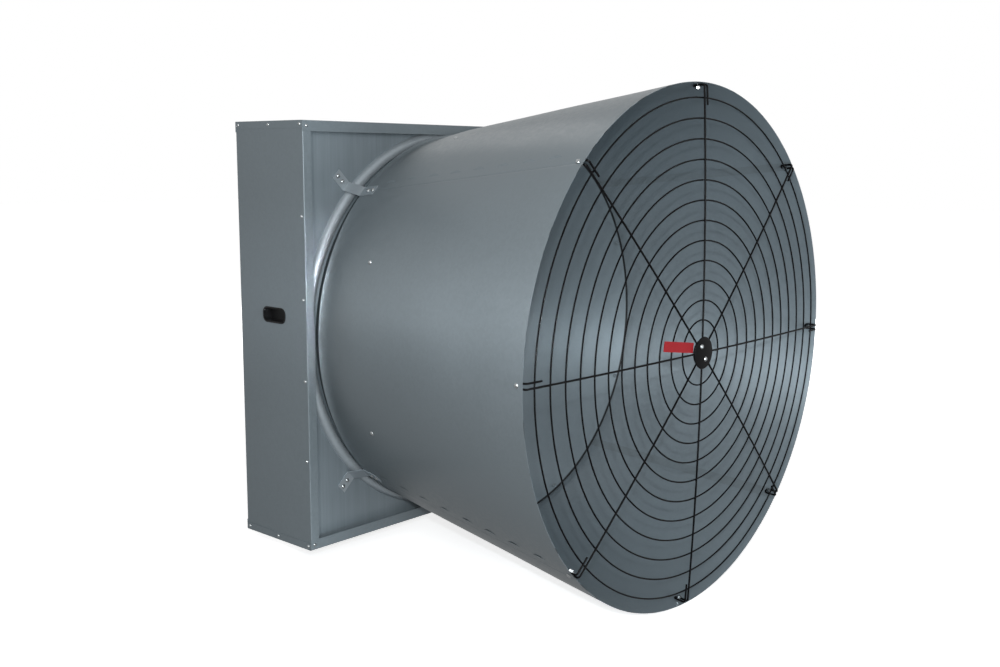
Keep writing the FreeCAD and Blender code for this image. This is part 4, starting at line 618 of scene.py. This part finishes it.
@dataclass(frozen=True)
class Unevenness:
    """Slow waves that the rolls leave in a cone panel.

    Attributes:
        long_mm: Height of the long waves.
        long_across: Their rate across the panel, per radian.
        long_along: Their rate along the panel, in half turns.
        short_mm: Height of the short waves.
        short_across: Their rate across the panel, per radian.
        short_along: Their rate along the panel, in half turns.
        short_shift: Their start along the panel, in radians.
        base_mm: Height of the waves at the base edge.
        base_across: Their rate across the panel, per radian.
        base_run: Share of the panel's length over which they die down.
        panel_shift: Shift of the waves from panel to panel, in radians.
        seam_fade: Angle over which all waves fade at the seams, in degrees.
        mouth_fade: Share of the length over which all waves fade at the mouth.
        base_fade: Share of the length over which the long and short waves fade at the base.
    """

    long_mm: float = 0.5
    long_across: float = 5.0
    long_along: float = 2.6
    short_mm: float = 0.25
    short_across: float = 11.0
    short_along: float = 5.2
    short_shift: float = 1.0
    base_mm: float = 0.35
    base_across: float = 14.0
    base_run: float = 0.10
    panel_shift: float = 1.7
    seam_fade: float = 6.0
    mouth_fade: float = 0.08
    base_fade: float = 0.06

    def dents(self, shape: ConeShape, angle: np.ndarray, level: np.ndarray, index: int) -> np.ndarray:
        """Sum the waves: products of sines across and along, fading at the edges.

        Args:
            shape: Cone sizes.
            angle: Angles in degrees from the panel's middle.
            level: Levels of y in millimetres.
            index: Panel number, which shifts the waves.

        Returns:
            Radial offsets in millimetres, within about 0.8.
        """
        share, turn, phase = shape.share(level), np.radians(angle), self.panel_shift * index
        long = self.long_mm * (np.sin(turn * self.long_across + phase)
                               * np.cos(self.long_along * math.pi * share + phase))
        short = self.short_mm * (np.sin(turn * self.short_across - 2 * phase)
                                 * np.sin(self.short_along * math.pi * share + self.short_shift))
        at_base = self.base_mm * np.exp(-share / self.base_run) * np.cos(turn * self.base_across + phase)
        seam = np.clip((shape.half_angle - np.abs(angle)) / self.seam_fade, 0, 1)
        mouth = np.clip((1 - share) / self.mouth_fade, 0, 1)
        return ((long + short) * np.clip(share / self.base_fade, 0, 1) + at_base) * seam * mouth


@dataclass
class DischargeCone:
    """Four quarter panels of rolled sheet with lapped seams and lanced slits.

    Attributes:
        shape: Cone sizes.
        waves: Unevenness of the sheet.
        panels: Name and middle angle of each panel.
        seams: Angles of the seams.
        across: Points across a panel, up to the seams' creases.
        flat_angle: Angle from the middle to those points' ends.
        crease_angles: First and last angle of the points across a crease.
        crease_steps: Number of those points.
        crease_mm: Depth of the crease beside a seam.
        crease_width: Width of the crease, in degrees.
        along: Points along a panel in front of the dip.
        dip_steps: Points along the dip.
        dip_reach: Length of the dip in dip runs.
        lap_angles: First and last angle of the strip that laps under the next panel.
        lap_steps: Points across the strip.
        lap_gap: Distance from the strip to the panel over it.
        slit_mm: Length of a lanced slit.
        slit_pitch: Distance from one slit to the next.
        slit_turn: Angle from a seam to its slits.
        slit_run: Levels of y between which the slits start.
        slit_steps: Points across and along a slit.
        slit_edge: Distance from the row's line to a slit's closed edge.
        slit_width: Width of a slit's lip.
        slit_rises: Height of a slit's outer and inner face.
        slit_root: Depth of a slit's edges in the panel.
    """

    shape: ConeShape
    waves: Unevenness = Unevenness()
    panels: tuple[tuple[str, float], ...] = (("right", 0), ("top", 90), ("left", 180), ("bottom", 270))
    seams: tuple[float, ...] = (45, 135, 225, 315)
    across: int = 110
    flat_angle: float = 43.0
    crease_angles: tuple[float, float] = (43.4, 44.98)
    crease_steps: int = 10
    crease_mm: float = 0.7
    crease_width: float = 0.22
    along: int = 70
    dip_steps: int = 40
    dip_reach: float = 4.0
    lap_angles: tuple[float, float] = (44.5, 47.0)
    lap_steps: int = 8
    lap_gap: float = 1.0
    slit_mm: float = 54.0
    slit_pitch: float = 103.0
    slit_turn: float = -3.0
    slit_run: tuple[float, float] = (-467.0, -1270.0)
    slit_steps: tuple[int, int] = (6, 13)
    slit_edge: float = 6.0
    slit_width: float = 9.0
    slit_rises: tuple[float, float] = (2.4, 1.6)
    slit_root: float = 0.1

    def build(self) -> None:
        """Build the four panels and the slits along their seams."""
        for index, (label, angle) in enumerate(self.panels):
            panel = self.panel(index).turned(angle)
            panel.piece(f"cone_sheet_{label}", (CONE_SHEET, CONE_INSIDE), Slot.SHEET, f"cone_panel_{label}")
        slits = Surface.joined(*[self.slits().turned(angle + self.slit_turn) for angle in self.seams])
        slits.piece("cone_seam_slits", (CONE_SHEET,), Slot.SHEET)

    def panel(self, index: int) -> Surface:
        """Roll a quarter: radius is the cone's line plus dents, less the dip and a crease at each side seam.

        Args:
            index: Panel number.

        Returns:
            A closed sheet about +X: outer face, mouth edge, inner face, base edge and a lapped strip.
        """
        shape = self.shape
        side = np.linspace(*self.crease_angles, self.crease_steps)
        flat = np.linspace(-self.flat_angle, self.flat_angle, self.across)
        angle = np.concatenate([-side[::-1], flat, side])[None]
        edge = np.linspace(shape.base_y, shape.base_y - self.dip_reach * shape.dip_run, self.dip_steps)
        level = np.concatenate([edge[:-1], np.linspace(edge[-1], shape.mouth_y, self.along)])[:, None]
        crease = self.crease_mm * np.exp(-((shape.half_angle - np.abs(angle)) / self.crease_width) ** 2)
        dents = self.waves.dents(shape, angle, level, index)
        outer = shape.radius(level) + dents - crease - shape.dipped(level, angle)
        inner = self.sheet(angle, level, outer - shape.gauge)
        loop = np.concatenate([self.sheet(angle, level, outer), inner[::-1]])
        skin = Surface.grid(loop, wrap_rows=True)
        # The inner faces take that lighter copy of the sheet, which is painted light
        inside = np.arange(len(loop)) >= len(level)
        skin.marks = np.repeat(inside, angle.size - 1).astype(int)
        lap = np.linspace(*self.lap_angles, self.lap_steps)[None]
        strip = self.sheet(-lap, level, shape.radius(level) - shape.gauge - self.lap_gap)
        return Surface.joined(skin, Surface.grid(strip))

    def sheet(self, angle: np.ndarray, level: np.ndarray, radius: np.ndarray) -> np.ndarray:
        """Place radii over angles and levels as points: (r cos, y, r sin)."""
        turn = np.radians(angle)
        return metres(radius * np.cos(turn), level, radius * np.sin(turn))

    def slits(self) -> Surface:
        """Press a row of lanced slits: each is a low half-lens of sheet whose lip stands open downwards.

        Returns:
            A row of slits at +X: height is a sine along the slit times a quarter sine across it, for the
            outer face, and the same with a smaller height for the inner face.
        """
        starts = np.arange(*self.slit_run, -self.slit_pitch)
        across = np.linspace(0, 1, self.slit_steps[0])[None, :, None]
        along = np.linspace(0, 1, self.slit_steps[1])[None, None, :]
        level = starts[:, None, None] - self.slit_mm * along
        swell = np.sin(np.pi * along)
        rise = swell * np.sin(across * np.pi / 2)
        reach = self.slit_edge - self.slit_width * across * swell
        base = self.shape.radius(level) - self.slit_root
        outer, inner = (metres(base + height * rise, level, reach) for height in self.slit_rises)
        points = np.concatenate([outer, inner[:, ::-1]], axis=1)
        return Surface.joined(*[Surface.grid(slit, wrap_rows=True) for slit in points])


@dataclass
class OrificeDuct:
    """Recessed panel with its rolled bead, and the duct that runs into the cone.

    Attributes:
        panel_y: Level of the panel's front face.
        gauge: Panel sheet thickness.
        half_x: Half of the panel's width.
        half_z: Half of the panel's height.
        flange_y: Level of the flanges' front edge.
        bead_middle: Radius of the bead's crest.
        bead_radius: Radius of the bead's half-round section.
        ring_radius: Inner radius of the duct.
        ring_gauge: Sheet thickness of the duct.
        bell_y: Level where the bell starts.
        bell_radius: Radius of the bell.
        neck_radius: Inner radius of the neck's front edge.
        neck_y: Level of the neck's front edge.
        flange_radius: Rim of the welded flange.
        weld_gap: Distance from the panel to that flange.
        plate_turn: Degrees from one ray of the plate's points to the next.
        plate_steps: Points along a ray.
        bead_steps: Points on each face of the bead's section.
        turns: Stations of a spun shape round the axis.
    """

    panel_y: float = -304.0
    gauge: float = 1.5
    half_x: float = 686.8
    half_z: float = 688.4
    flange_y: float = -341.8
    bead_middle: float = 654.3
    bead_radius: float = 19.0
    ring_radius: float = 634.0
    ring_gauge: float = 1.2
    bell_y: float = -122.0
    bell_radius: float = 18.0
    neck_radius: float = 680.0
    neck_y: float = -607.0
    flange_radius: float = 682.3
    weld_gap: float = 0.05
    plate_turn: float = 1.0
    plate_steps: int = 14
    bead_steps: int = 17
    turns: int = 300

    def build(self) -> None:
        """Build the panel and the duct."""
        self.panel().piece("orifice_sheet", (ROLLED_SHEET, ROLLED_BEAD), Slot.SHEET, "orifice_panel")
        self.duct().piece("orifice_duct", (DUCT_SHEET, PAINTED_SHADE_SHEET), Slot.SHEET, "orifice_ring")

    def panel(self) -> Surface:
        """Press the panel: a plate from the bead's foot to the square edge, a half-round bead, and flanges.

        Returns:
            Plate points are a blend of the bead's foot circle and the square, over angle and share.
        """
        angle = np.radians(np.arange(0, 360, self.plate_turn))
        ray = np.stack([np.cos(angle), np.sin(angle)], axis=-1)
        half = np.array([self.half_x, self.half_z])
        edge = np.min(half / np.maximum(np.abs(ray), 1e-9), axis=1)[:, None]
        foot = self.bead_middle + self.bead_radius
        radius = foot + (edge - foot) * np.linspace(0, 1, self.plate_steps)[None, :]
        front, back = (Surface.grid(metres(radius * ray[:, :1], level, radius * ray[:, 1:]), wrap_rows=True)
                       for level in (self.panel_y, self.panel_y + self.gauge))
        rim = []
        for inset, level in ((0, self.panel_y), (0, self.flange_y), (self.gauge, self.flange_y),
                             (self.gauge, self.panel_y)):
            flat = np.clip(edge * ray, inset - half, half - inset)
            rim.append(metres(flat[:, 0], level, flat[:, 1]))
        flanges = Surface.grid(np.stack(rim, axis=1), wrap_rows=True)
        return Surface.joined(front.flipped(), back, self.bead(), flanges)

    def bead(self) -> Surface:
        """Roll the bead: a half circle out and a smaller one back, spun round the axis.

        Returns:
            The bead, marked for its own finish.
        """
        middle = (self.bead_middle, self.panel_y)
        outer = arc(middle, self.bead_radius, 0, -180, self.bead_steps)
        inner = arc(middle, self.bead_radius - self.gauge, -180, 0, self.bead_steps)
        made = spun(MM * np.concatenate([outer, inner]), self.turns)
        made.marks[:] = 1
        return made

    def duct(self) -> Surface:
        """Spin the duct's closed section: neck, cylinder, bell and welded flange.

        Returns:
            The duct, with the neck's outside marked for the dark sheet that is painted shade.
        """
        crest = self.panel_y - self.bead_radius
        outside = self.ring_radius + self.ring_gauge
        flange = self.panel_y + self.gauge + self.weld_gap
        bell = (self.ring_radius + self.bell_radius, self.bell_y)
        profile = np.concatenate([
            [(self.neck_radius, self.neck_y), (self.neck_radius + self.ring_gauge, self.neck_y),
             (outside, crest), (outside, flange), (self.flange_radius, flange),
             (self.flange_radius, flange + self.ring_gauge), (outside, flange + self.ring_gauge)],
            arc(bell, self.bell_radius - self.ring_gauge, 180, 90),
            arc(bell, self.bell_radius, 90, 180),
            [(self.ring_radius, crest)],
        ])
        made = spun(MM * profile, self.turns)
        neck_outside = np.arange(len(profile)) == 1
        made.marks = np.tile(neck_outside, self.turns).astype(int)
        return made


@dataclass
class WireGuard:
    """Domed guard of wire rings and bent spokes in the cone's mouth.

    Attributes:
        cone: Cone sizes.
        rings: Number of rings.
        first: Radius of the smallest ring.
        margin: Distance from the largest ring to the mouth's outer edge.
        ring_wire: Ring wire radius.
        spokes: Number of spokes.
        spoke_wire: Spoke wire radius.
        dome: Rise of the hub over the mouth plane.
        bow: Radius of the spokes' shallow arc, which starts at the hub's edge.
        spare: Length by which the arc passes the largest ring.
        start: Radius at which the spokes start under the hub's disc.
        depth: Depth of a hairpin behind the mouth plane.
        back: Length of a hairpin's returning leg.
        gap: Distance between a hairpin's legs.
        bend: Bend radius of a spoke at the rim.
        hub: Radius of the front disc.
        hub_plate: Thickness of the front disc.
        hub_inset: Distance from the disc's radius to the middle of its rolled rim.
        pole: Radius that stands for the axis in the disc's section.
        ring_gap: Distance from the spokes to the rings.
        wall_gap: Distance from the spokes to the cone's inner lap.
        plate_gap: Distance from the spokes to the disc.
        turn_spare: Amount by which a hairpin's bends stay under half its gap.
        ring_steps: Stations round a ring.
        hub_steps: Stations round the disc.
        rim_steps: Points on the section of its rolled rim.
        sides: Points round a wire.
    """

    cone: ConeShape
    rings: int = 12
    first: float = 99.0
    margin: float = 45.0
    ring_wire: float = 2.5
    spokes: int = 8
    spoke_wire: float = 3.0
    dome: float = 28.0
    bow: float = 12500.0
    spare: float = 13.0
    start: float = 30.0
    depth: float = 35.0
    back: float = 60.0
    gap: float = 15.0
    bend: float = 8.0
    hub: float = 50.0
    hub_plate: float = 3.0
    hub_inset: float = 2.0
    pole: float = 0.01
    ring_gap: float = 0.2
    wall_gap: float = 0.4
    plate_gap: float = 0.1
    turn_spare: float = 0.1
    ring_steps: int = 240
    hub_steps: int = 96
    rim_steps: int = 7
    sides: int = 10

    def build(self) -> None:
        """Build the rings, the spokes and the hub's front disc."""
        for surface, name, node in ((self.ring_set(), "guard_wire_rings", "guard_rings"),
                                    (self.spoke_set(), "guard_wire_spokes", "guard_spokes"),
                                    (self.hub_disc(), "guard_pressed_hub", "guard_hub_front")):
            surface.piece(name, (POWDER_BLACK,), Slot.BLACK_WIRE, node)

    @property
    def crown(self) -> float:
        """Level of y of the spokes' middle at the hub."""
        return self.cone.mouth_y - self.dome

    def level(self, radius: np.ndarray) -> np.ndarray:
        """Return the spokes' level of y at a radius: flat over the hub, then a shallow arc."""
        return self.crown + self.bow - np.sqrt(self.bow ** 2 - (radius - self.hub) ** 2)

    def ring_set(self) -> Surface:
        """Bend the rings: each is a torus, ring radius plus wire radius times (cos, sin).

        Returns:
            All the rings, behind the spokes.
        """
        radius = np.linspace(self.first, self.cone.mouth_radius - self.margin, self.rings)[:, None, None]
        turn = np.linspace(0, 2 * np.pi, self.ring_steps, endpoint=False)[None, :, None]
        round_wire = np.linspace(0, 2 * np.pi, self.sides, endpoint=False)[None, None, :]
        reach = radius + self.ring_wire * np.cos(round_wire)
        middle = self.level(radius) + self.ring_wire + self.spoke_wire + self.ring_gap
        level = middle + self.ring_wire * np.sin(round_wire)
        points = metres(reach * np.cos(turn), level, reach * np.sin(turn))
        return Surface.joined(*[Surface.grid(ring, True, True).flipped() for ring in points])

    def spoke_set(self) -> Surface:
        """Bend a spoke: a shallow arc to the rim, in along the wall, a half turn and a short way back.

        Returns:
            All the spokes, evenly round the axis.
        """
        cone, crown = self.cone, self.crown
        skin = self.spoke_wire + 2 * cone.gauge + self.wall_gap
        lean = math.asin((cone.mouth_radius - self.margin + self.spare - self.hub) / self.bow)
        knee = self.hub + self.bow * math.tan(lean / 2)
        rim_r = cone.mouth_radius - skin
        rim_y = crown + (rim_r - knee) * math.tan(lean)
        deep_y = cone.mouth_y + self.depth
        deep_r = cone.radius(deep_y) - skin
        end_r, end_y = rim_r - self.back, rim_y - self.back * math.tan(lean)
        corners = np.array([
            (self.start, crown, 0), (knee, crown, 0), (rim_r, rim_y, 0), (deep_r, deep_y, 0),
            (deep_r, deep_y, -self.gap), (rim_r, rim_y, -self.gap), (end_r, end_y, -self.gap)])
        turn = self.gap / 2 - self.turn_spare
        path = rounded_path(corners, [self.bow, self.bend, turn, turn, self.bend])
        spoke = tube(MM * path, MM * self.spoke_wire, self.sides)
        return Surface.joined(*[spoke.turned(360 / self.spokes * step) for step in range(self.spokes)])

    def hub_disc(self) -> Surface:
        """Spin the pressed hub disc: a flat face with a rolled rim.

        Returns:
            The disc in front of the spokes.
        """
        face = self.crown - self.spoke_wire - self.plate_gap
        half = self.hub_plate / 2
        rim = arc((self.hub - self.hub_inset, face - half), half, 90, -90, self.rim_steps)
        profile = np.concatenate([[(self.pole, face)], rim, [(self.pole, face - self.hub_plate)]])
        return spun(MM * profile, self.hub_steps)


def dress_cad_nodes() -> None:
    """Give every CAD node the finish of its material slot, or its own."""
    slots = {item["node"]: Slot(item["material_slot"]) for item in frame["record"]["subparts"]}
    for name, item in frame["nodes"].items():
        item.data.materials.clear()
        item.data.materials.append(NODE_FINISHES.get(name, SLOT_FINISHES[slots[name]]).material())
    LOG.info("dressed %d CAD nodes", len(frame["nodes"]))


def stood(right: np.ndarray, above: np.ndarray, back: np.ndarray, place: Place) -> Matrix:
    """Make the matrix of a camera or lamp.

    Args:
        right: Direction of its own x.
        above: Direction of its own y.
        back: Direction of its own z, away from what it faces.
        place: Its position in metres.

    Returns:
        The matrix.
    """
    matrix = np.eye(4)
    matrix[:3] = np.stack([right, above, back, place], axis=1)
    return Matrix(matrix.tolist())


@dataclass(frozen=True)
class Lamp:
    """A square softbox that faces a point.

    Attributes:
        name: Name of the lamp.
        place: Its middle, in metres.
        target: Point that it faces.
        size: Length of its sides.
        power: Power in watts.
        colour: Colour of its light, sRGB hex.
        spread: Opening angle of its grid in degrees; a small one makes a narrow soft beam.
    """

    name: str
    place: Place
    target: Place
    size: float
    power: float
    colour: str = "ffffff"
    spread: float = 180.0

    def hang(self) -> None:
        """Put the lamp into the scene."""
        data = bpy.data.lights.new(self.name, "AREA")
        data.spread = math.radians(self.spread)
        data.size, data.energy, data.color = self.size, self.power, linear(self.colour)[:3]
        made = bpy.data.objects.new(self.name, data)
        bpy.context.scene.collection.objects.link(made)
        back = np.array(self.place) - np.array(self.target)
        back /= np.linalg.norm(back)
        side = np.cross((0, 0, 1), back)
        side /= np.linalg.norm(side)
        made.matrix_world = stood(side, np.cross(back, side), back, self.place)


@dataclass
class Studio:
    """Floor, world, lamps and camera.

    Attributes:
        place: Camera position in metres.
        yaw: Heading of the view from +Y towards +X, in degrees.
        pitch: Downward tilt in degrees.
        roll: Roll in degrees.
        lens: Focal length for a sensor 36 mm wide.
        shift: Vertical shift of the frame.
        flash: Place of the flash from the camera: right, up and ahead, in metres.
        softbox: Place of the front softbox from the camera, likewise.
        fan_middle: Point that both of them face.
        lamps: The other lamps.
        floor_drop: Distance from the fan's lowest point to the floor.
        floor_half: Half of the floor's length.
        floor_ring: Distances between which the floor's own glow changes.
        floor_glow: That glow near the fan and far away, as the camera sees it.
        floor_mirrored: Glow of the floor in gloss and glass.
        room_light: Strength of the room's even light.
    """

    place: Place = (-2.9228, -3.1555, 0.5703)
    yaw: float = 48.27
    pitch: float = 9.015
    roll: float = 0.308
    lens: float = 40.8
    shift: float = 0.0066
    flash: Place = (0.02, 0.18, 0.0)
    softbox: Place = (0.0, 0.3, -0.1)
    fan_middle: Place = (0.0, -0.9, 0.0)
    lamps: tuple[Lamp, ...] = (
        Lamp("mouth_fill", (-0.8, -5.2, -0.4), (0.55, -0.5, 0.1), 1.5, 150.0, "eef9ff"),
        Lamp("lip_beam", (-1.4, -4.3, 0.12), (-0.62, -0.345, 0.12), 0.12, 0.6, "f4f8ff", spread=9.0),
        Lamp("rear_softbox", (1.1, 1.6, 3.2), (-0.3, -1.0, 0.6), 0.8, 5.0, "fff8f2"),
        Lamp("inlet_softbox", (1.4, 6.8, 0.2), (0.0, 0.0, 0.0), 2.2, 260.0),
        Lamp("side_softbox", (6.4, 1.2, 0.4), (0.0, -0.5, 0.0), 2.2, 170.0),
    )
    floor_drop: float = 0.002
    floor_half: float = 30.0
    floor_ring: tuple[float, float] = (1.8, 7.0)
    floor_glow: tuple[float, float] = (0.66, 0.92)
    floor_mirrored: float = 0.55
    room_light: float = 0.12

    def build(self) -> None:
        """Set up the whole studio."""
        self.floor()
        self.world()
        self.camera()
        Lamp("camera_flash", self.beside(self.flash), self.fan_middle, 0.04, 50.0, "f2fbff").hang()
        Lamp("front_softbox", self.beside(self.softbox), self.fan_middle, 1.4, 115.0).hang()
        for lamp in self.lamps:
            lamp.hang()
        bpy.context.scene.view_settings.view_transform = "Standard"

    def axes(self) -> np.ndarray:
        """Work out the camera's directions from its yaw, pitch and roll.

        Returns:
            Rows for right, up and ahead.
        """
        yaw, pitch, roll = (math.radians(value) for value in (self.yaw, self.pitch, self.roll))
        ahead = np.array([math.sin(yaw) * math.cos(pitch), math.cos(yaw) * math.cos(pitch), -math.sin(pitch)])
        right = np.cross(ahead, (0, 0, 1))
        right /= np.linalg.norm(right)
        above = np.cross(right, ahead)
        return np.stack([math.cos(roll) * right + math.sin(roll) * above,
                         math.cos(roll) * above - math.sin(roll) * right, ahead])

    def beside(self, offset: Place) -> Place:
        """Return the place at an offset from the camera, to its right, up and ahead."""
        return tuple(np.array(self.place) + np.array(offset) @ self.axes())

    def camera(self) -> None:
        """Place the camera at the photograph's viewpoint."""
        data = bpy.data.cameras.new("photo_camera")
        data.lens, data.sensor_width, data.shift_y = self.lens, 36.0, self.shift
        data.clip_end = 100.0
        made = bpy.data.objects.new("photo_camera", data)
        bpy.context.scene.collection.objects.link(made)
        right, above, ahead = self.axes()
        made.matrix_world = stood(right, above, -ahead, self.place)
        bpy.context.scene.camera = made

    def floor(self) -> None:
        """Lay a plain pale floor under the fan; the camera sees it as white with the fan's shadow on it."""
        low = CAD_BOX[0][2] - self.floor_drop
        span = (-self.floor_half, self.floor_half)
        x, y = np.meshgrid(span, span, indexing="ij")
        points = np.stack([x, y, np.full_like(x, low)], axis=-1).reshape(-1, 3)
        mesh = bpy.data.meshes.new("studio_floor")
        mesh.from_pydata(points, [], grid_faces(2, 2)[:, ::-1])
        made = bpy.data.objects.new("studio_floor", mesh)
        bpy.context.scene.collection.objects.link(made)
        mesh.materials.append(self.floor_paint())

    def floor_paint(self) -> bpy.types.Material:
        """Mix the floor's paint: grey for the light on the fan, pale for the camera, a weaker glow for gloss.

        Returns:
            The floor's material.
        """
        paint = bpy.data.materials.new("floor_paint")
        paint.use_nodes = True
        tree = paint.node_tree
        tree.nodes.clear()
        place = add_node(tree, "ShaderNodeTexCoord").outputs["Object"]
        away = add_node(tree, "ShaderNodeVectorMath", {"operation": "LENGTH"}, Vector=place).outputs["Value"]
        near, far = self.floor_ring
        near_glow, far_glow = self.floor_glow
        level = add_node(tree, "ShaderNodeMapRange", Value=away, From_Min=near, From_Max=far,
                         To_Min=near_glow, To_Max=far_glow).outputs["Result"]
        matte = add_node(tree, "ShaderNodeBsdfDiffuse", Color=linear("f2f2f2")).outputs[0]
        glow = add_node(tree, "ShaderNodeEmission", Color=WHITE, Strength=level).outputs[0]
        pale = add_node(tree, "ShaderNodeAddShader", None, matte, glow).outputs[0]
        grey = add_node(tree, "ShaderNodeBsdfDiffuse", Color=linear("5a5a5a")).outputs[0]
        mirrored = add_node(tree, "ShaderNodeEmission", Color=WHITE, Strength=self.floor_mirrored).outputs[0]
        add_node(tree, "ShaderNodeOutputMaterial", Surface=self.shown(tree, grey, pale, mirrored))
        return paint

    def world(self) -> None:
        """Light the room softly and evenly; the camera, gloss and glass see plain white."""
        made = bpy.data.worlds.new("studio_room")
        bpy.context.scene.world = made
        made.use_nodes = True
        tree = made.node_tree
        tree.nodes.clear()
        room = add_node(tree, "ShaderNodeBackground", Color=linear("f4f1ec"),
                        Strength=self.room_light).outputs[0]
        white = add_node(tree, "ShaderNodeBackground", Color=WHITE, Strength=1.0).outputs[0]
        add_node(tree, "ShaderNodeOutputWorld", Surface=self.shown(tree, room, white, white))

    def shown(self, tree: bpy.types.NodeTree, lit: bpy.types.NodeSocket, pale: bpy.types.NodeSocket,
              mirrored: bpy.types.NodeSocket) -> bpy.types.NodeSocket:
        """Mix shaders by who looks.

        Args:
            tree: Node tree of the floor or the world.
            lit: Shader that lights the object.
            pale: Shader that the camera sees.
            mirrored: Shader that gloss and glass see.

        Returns:
            Socket of the mixed shader.
        """
        path = add_node(tree, "ShaderNodeLightPath").outputs
        either = add_node(tree, "ShaderNodeMath", {"operation": "MAXIMUM"}, path["Is Glossy Ray"],
                          path["Is Transmission Ray"]).outputs[0]
        seen = add_node(tree, "ShaderNodeMixShader", None, either, lit, mirrored).outputs[0]
        return add_node(tree, "ShaderNodeMixShader", None, path["Is Camera Ray"], seen, pale).outputs[0]


def main() -> None:
    """Build every sub-assembly's looks, then the studio."""
    logging.basicConfig(level=logging.INFO, format="%(message)s")
    dress_cad_nodes()
    cone = ConeShape()
    for assembly in (DischargeCone(cone), OrificeDuct(), WireGuard(cone), Studio()):
        assembly.build()
        LOG.info("built %s", type(assembly).__name__)


if __name__ == "__main__":
    main()
